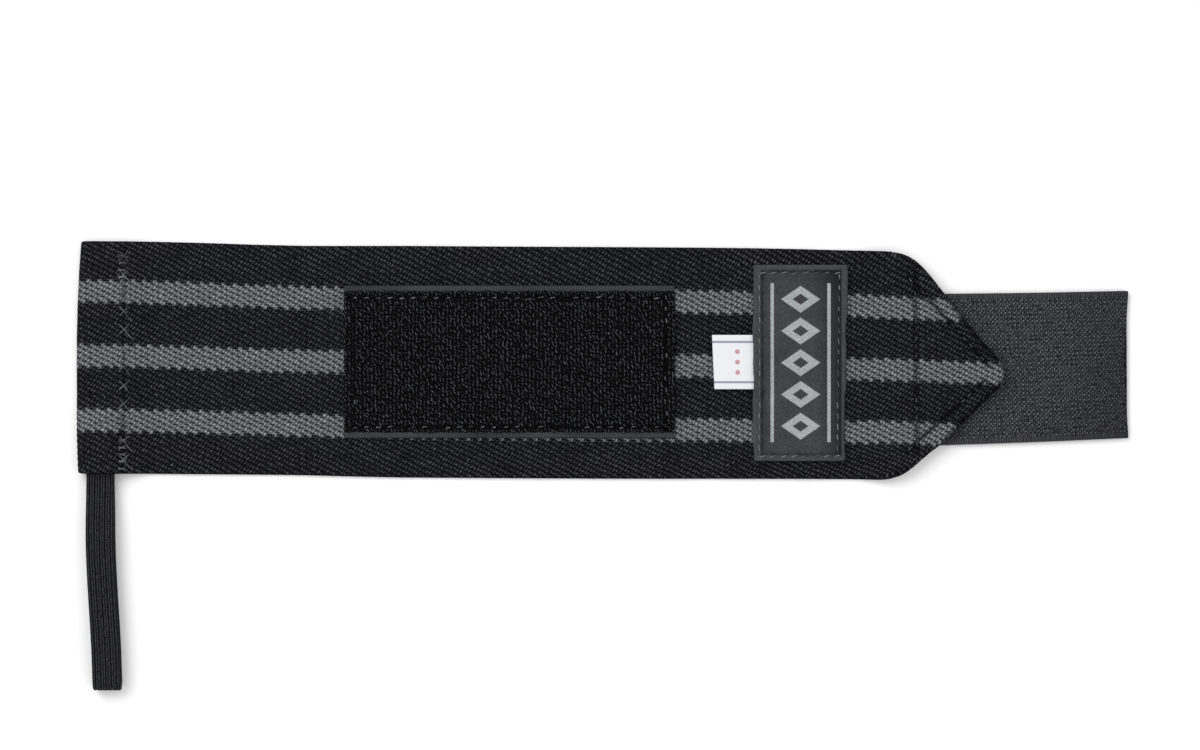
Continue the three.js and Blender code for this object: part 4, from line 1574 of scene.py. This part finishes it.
def thread_finish(name, dark, light):
    finish = Finish(name, roughness=0.6, specular=0.2)
    x, y, _ = finish.place()
    twist = (x + y * 0.6).wave(TWIST_PITCH) * 0.3
    grain = finish.noise(x, y, 3.5, 2, 1)
    colour = finish.mix((0.45 + twist + grain * 2.4).clamped(), dark, light)
    return finish.paint(colour, height=twist, depth=0.05)


print("sewing helpers ready")

# %% [markdown]
# A wide zig-zag whose strokes cross closes the hem, with a denser bar-tack where the strap's ends are
# caught. Zig-zag stretches with the elastic, where a straight seam would snap. Straight rows in darker
# thread hold the point's folded corners.

# %% Hem and point seams
ZIGZAG_PITCH = 6.06
ZIGZAG_X_PX = (117.3, 130.5, 134.0)
TACK_PITCH = 1.15
TACK_WIDTH = 3.4
TACK_MARGINS = (1, 2)
HEM_TOP_MARGIN = 1
BAR_TACKS_PX = ((470, 438), (300, 228))
HEM_THREAD_TONES = ((40, 40, 43), (116, 117, 120))
DARK_THREAD_TONES = ((22, 22, 25), (96, 97, 100))
HEM_SEWN = {"thread": 0.3, "dive": 0.3, "sink": 0.1}
POINT_SEWN = {"thread": 0.34, "dive": 0.35, "sink": 0.14}

band_height = cover(striped)
zig_left, zig_middle, zig_right = (photo_to_part(x, 0)[0] for x in ZIGZAG_X_PX)
falling = (zig_left, 6.4, zig_right, 0.0)
rising = (zig_left, 1.3, zig_middle, 5.3)
hem_stitches = zigzag(hem_low + HEM_SEAM_MARGIN, hem_high - HEM_TOP_MARGIN, ZIGZAG_PITCH, (falling, rising))
for lower_px, upper_px in BAR_TACKS_PX:
    tack_low = max(photo_to_part(0, lower_px)[1], hem_low + TACK_MARGINS[0])
    tack_high = min(photo_to_part(0, upper_px)[1], hem_high - TACK_MARGINS[1])
    there = (zig_left, 0.0, zig_left + TACK_WIDTH, TACK_PITCH * 0.9)
    back = (zig_left, TACK_PITCH, zig_left + TACK_WIDTH, TACK_PITCH * 0.1)
    hem_stitches += zigzag(tack_low, tack_high, 2 * TACK_PITCH, (there, back))
hem_thread = thread_finish("hem_thread", *HEM_THREAD_TONES)
sew("hem_stitches", hem_stitches, band_height, hem_thread, "band_cloth", **HEM_SEWN)

point_stitches = []
for name in POINT_SEAMS_PX:
    point_stitches += row(seams[name], pitch=2.9, share=0.7, wander=0.12, lost=0.3)
dark_thread = thread_finish("dark_thread", *DARK_THREAD_TONES)
sew("point_stitches", point_stitches, band_height, dark_thread, "band_cloth", **POINT_SEWN)

# %% [markdown]
# The patch is held by long pale stitches that press the pile down, and the label by short slanted ones. Deep
# pile swallows most of the thread at the patch's left and some at its right.

# %% Patch and label seams
PALE_THREAD_TONES = ((34, 35, 37), (126, 127, 130))
PATCH_ROWS = {
    "patch_top": (0.16, 0.12),
    "patch_bottom": (0.16, 0.12),
    "patch_left": (0.12, 0.8),
    "patch_right": (0.12, 0.35),
}
PATCH_SEWN = {"thread": 0.36, "dive": 0.5, "sink": -0.12}
LABEL_SEWN = {"thread": 0.4, "dive": 0.32, "sink": 0.12}
LABEL_SLANTS = {"label_top": 0.28, "label_bottom": 0.28, "label_left": 0.12, "label_right": 0.12}

pale_thread = thread_finish("pale_thread", *PALE_THREAD_TONES)
patch_stitches = []
for name, (slant, lost) in PATCH_ROWS.items():
    patch_stitches += row(patch_seams[name], pitch=3.8, share=0.5, slant=slant, wander=0.14, lost=lost)
sew("patch_stitches", patch_stitches, cover(striped, patch_cloth), pale_thread, "pile_tape", **PATCH_SEWN)

label_stitches = []
for name, slant in LABEL_SLANTS.items():
    label_stitches += row(label_seams[name], pitch=SINK_PITCH, share=0.6, slant=slant, wander=0.06)
sew("label_stitches", label_stitches, cover(sewn_label), pale_thread, "label_cloth", **LABEL_SEWN)
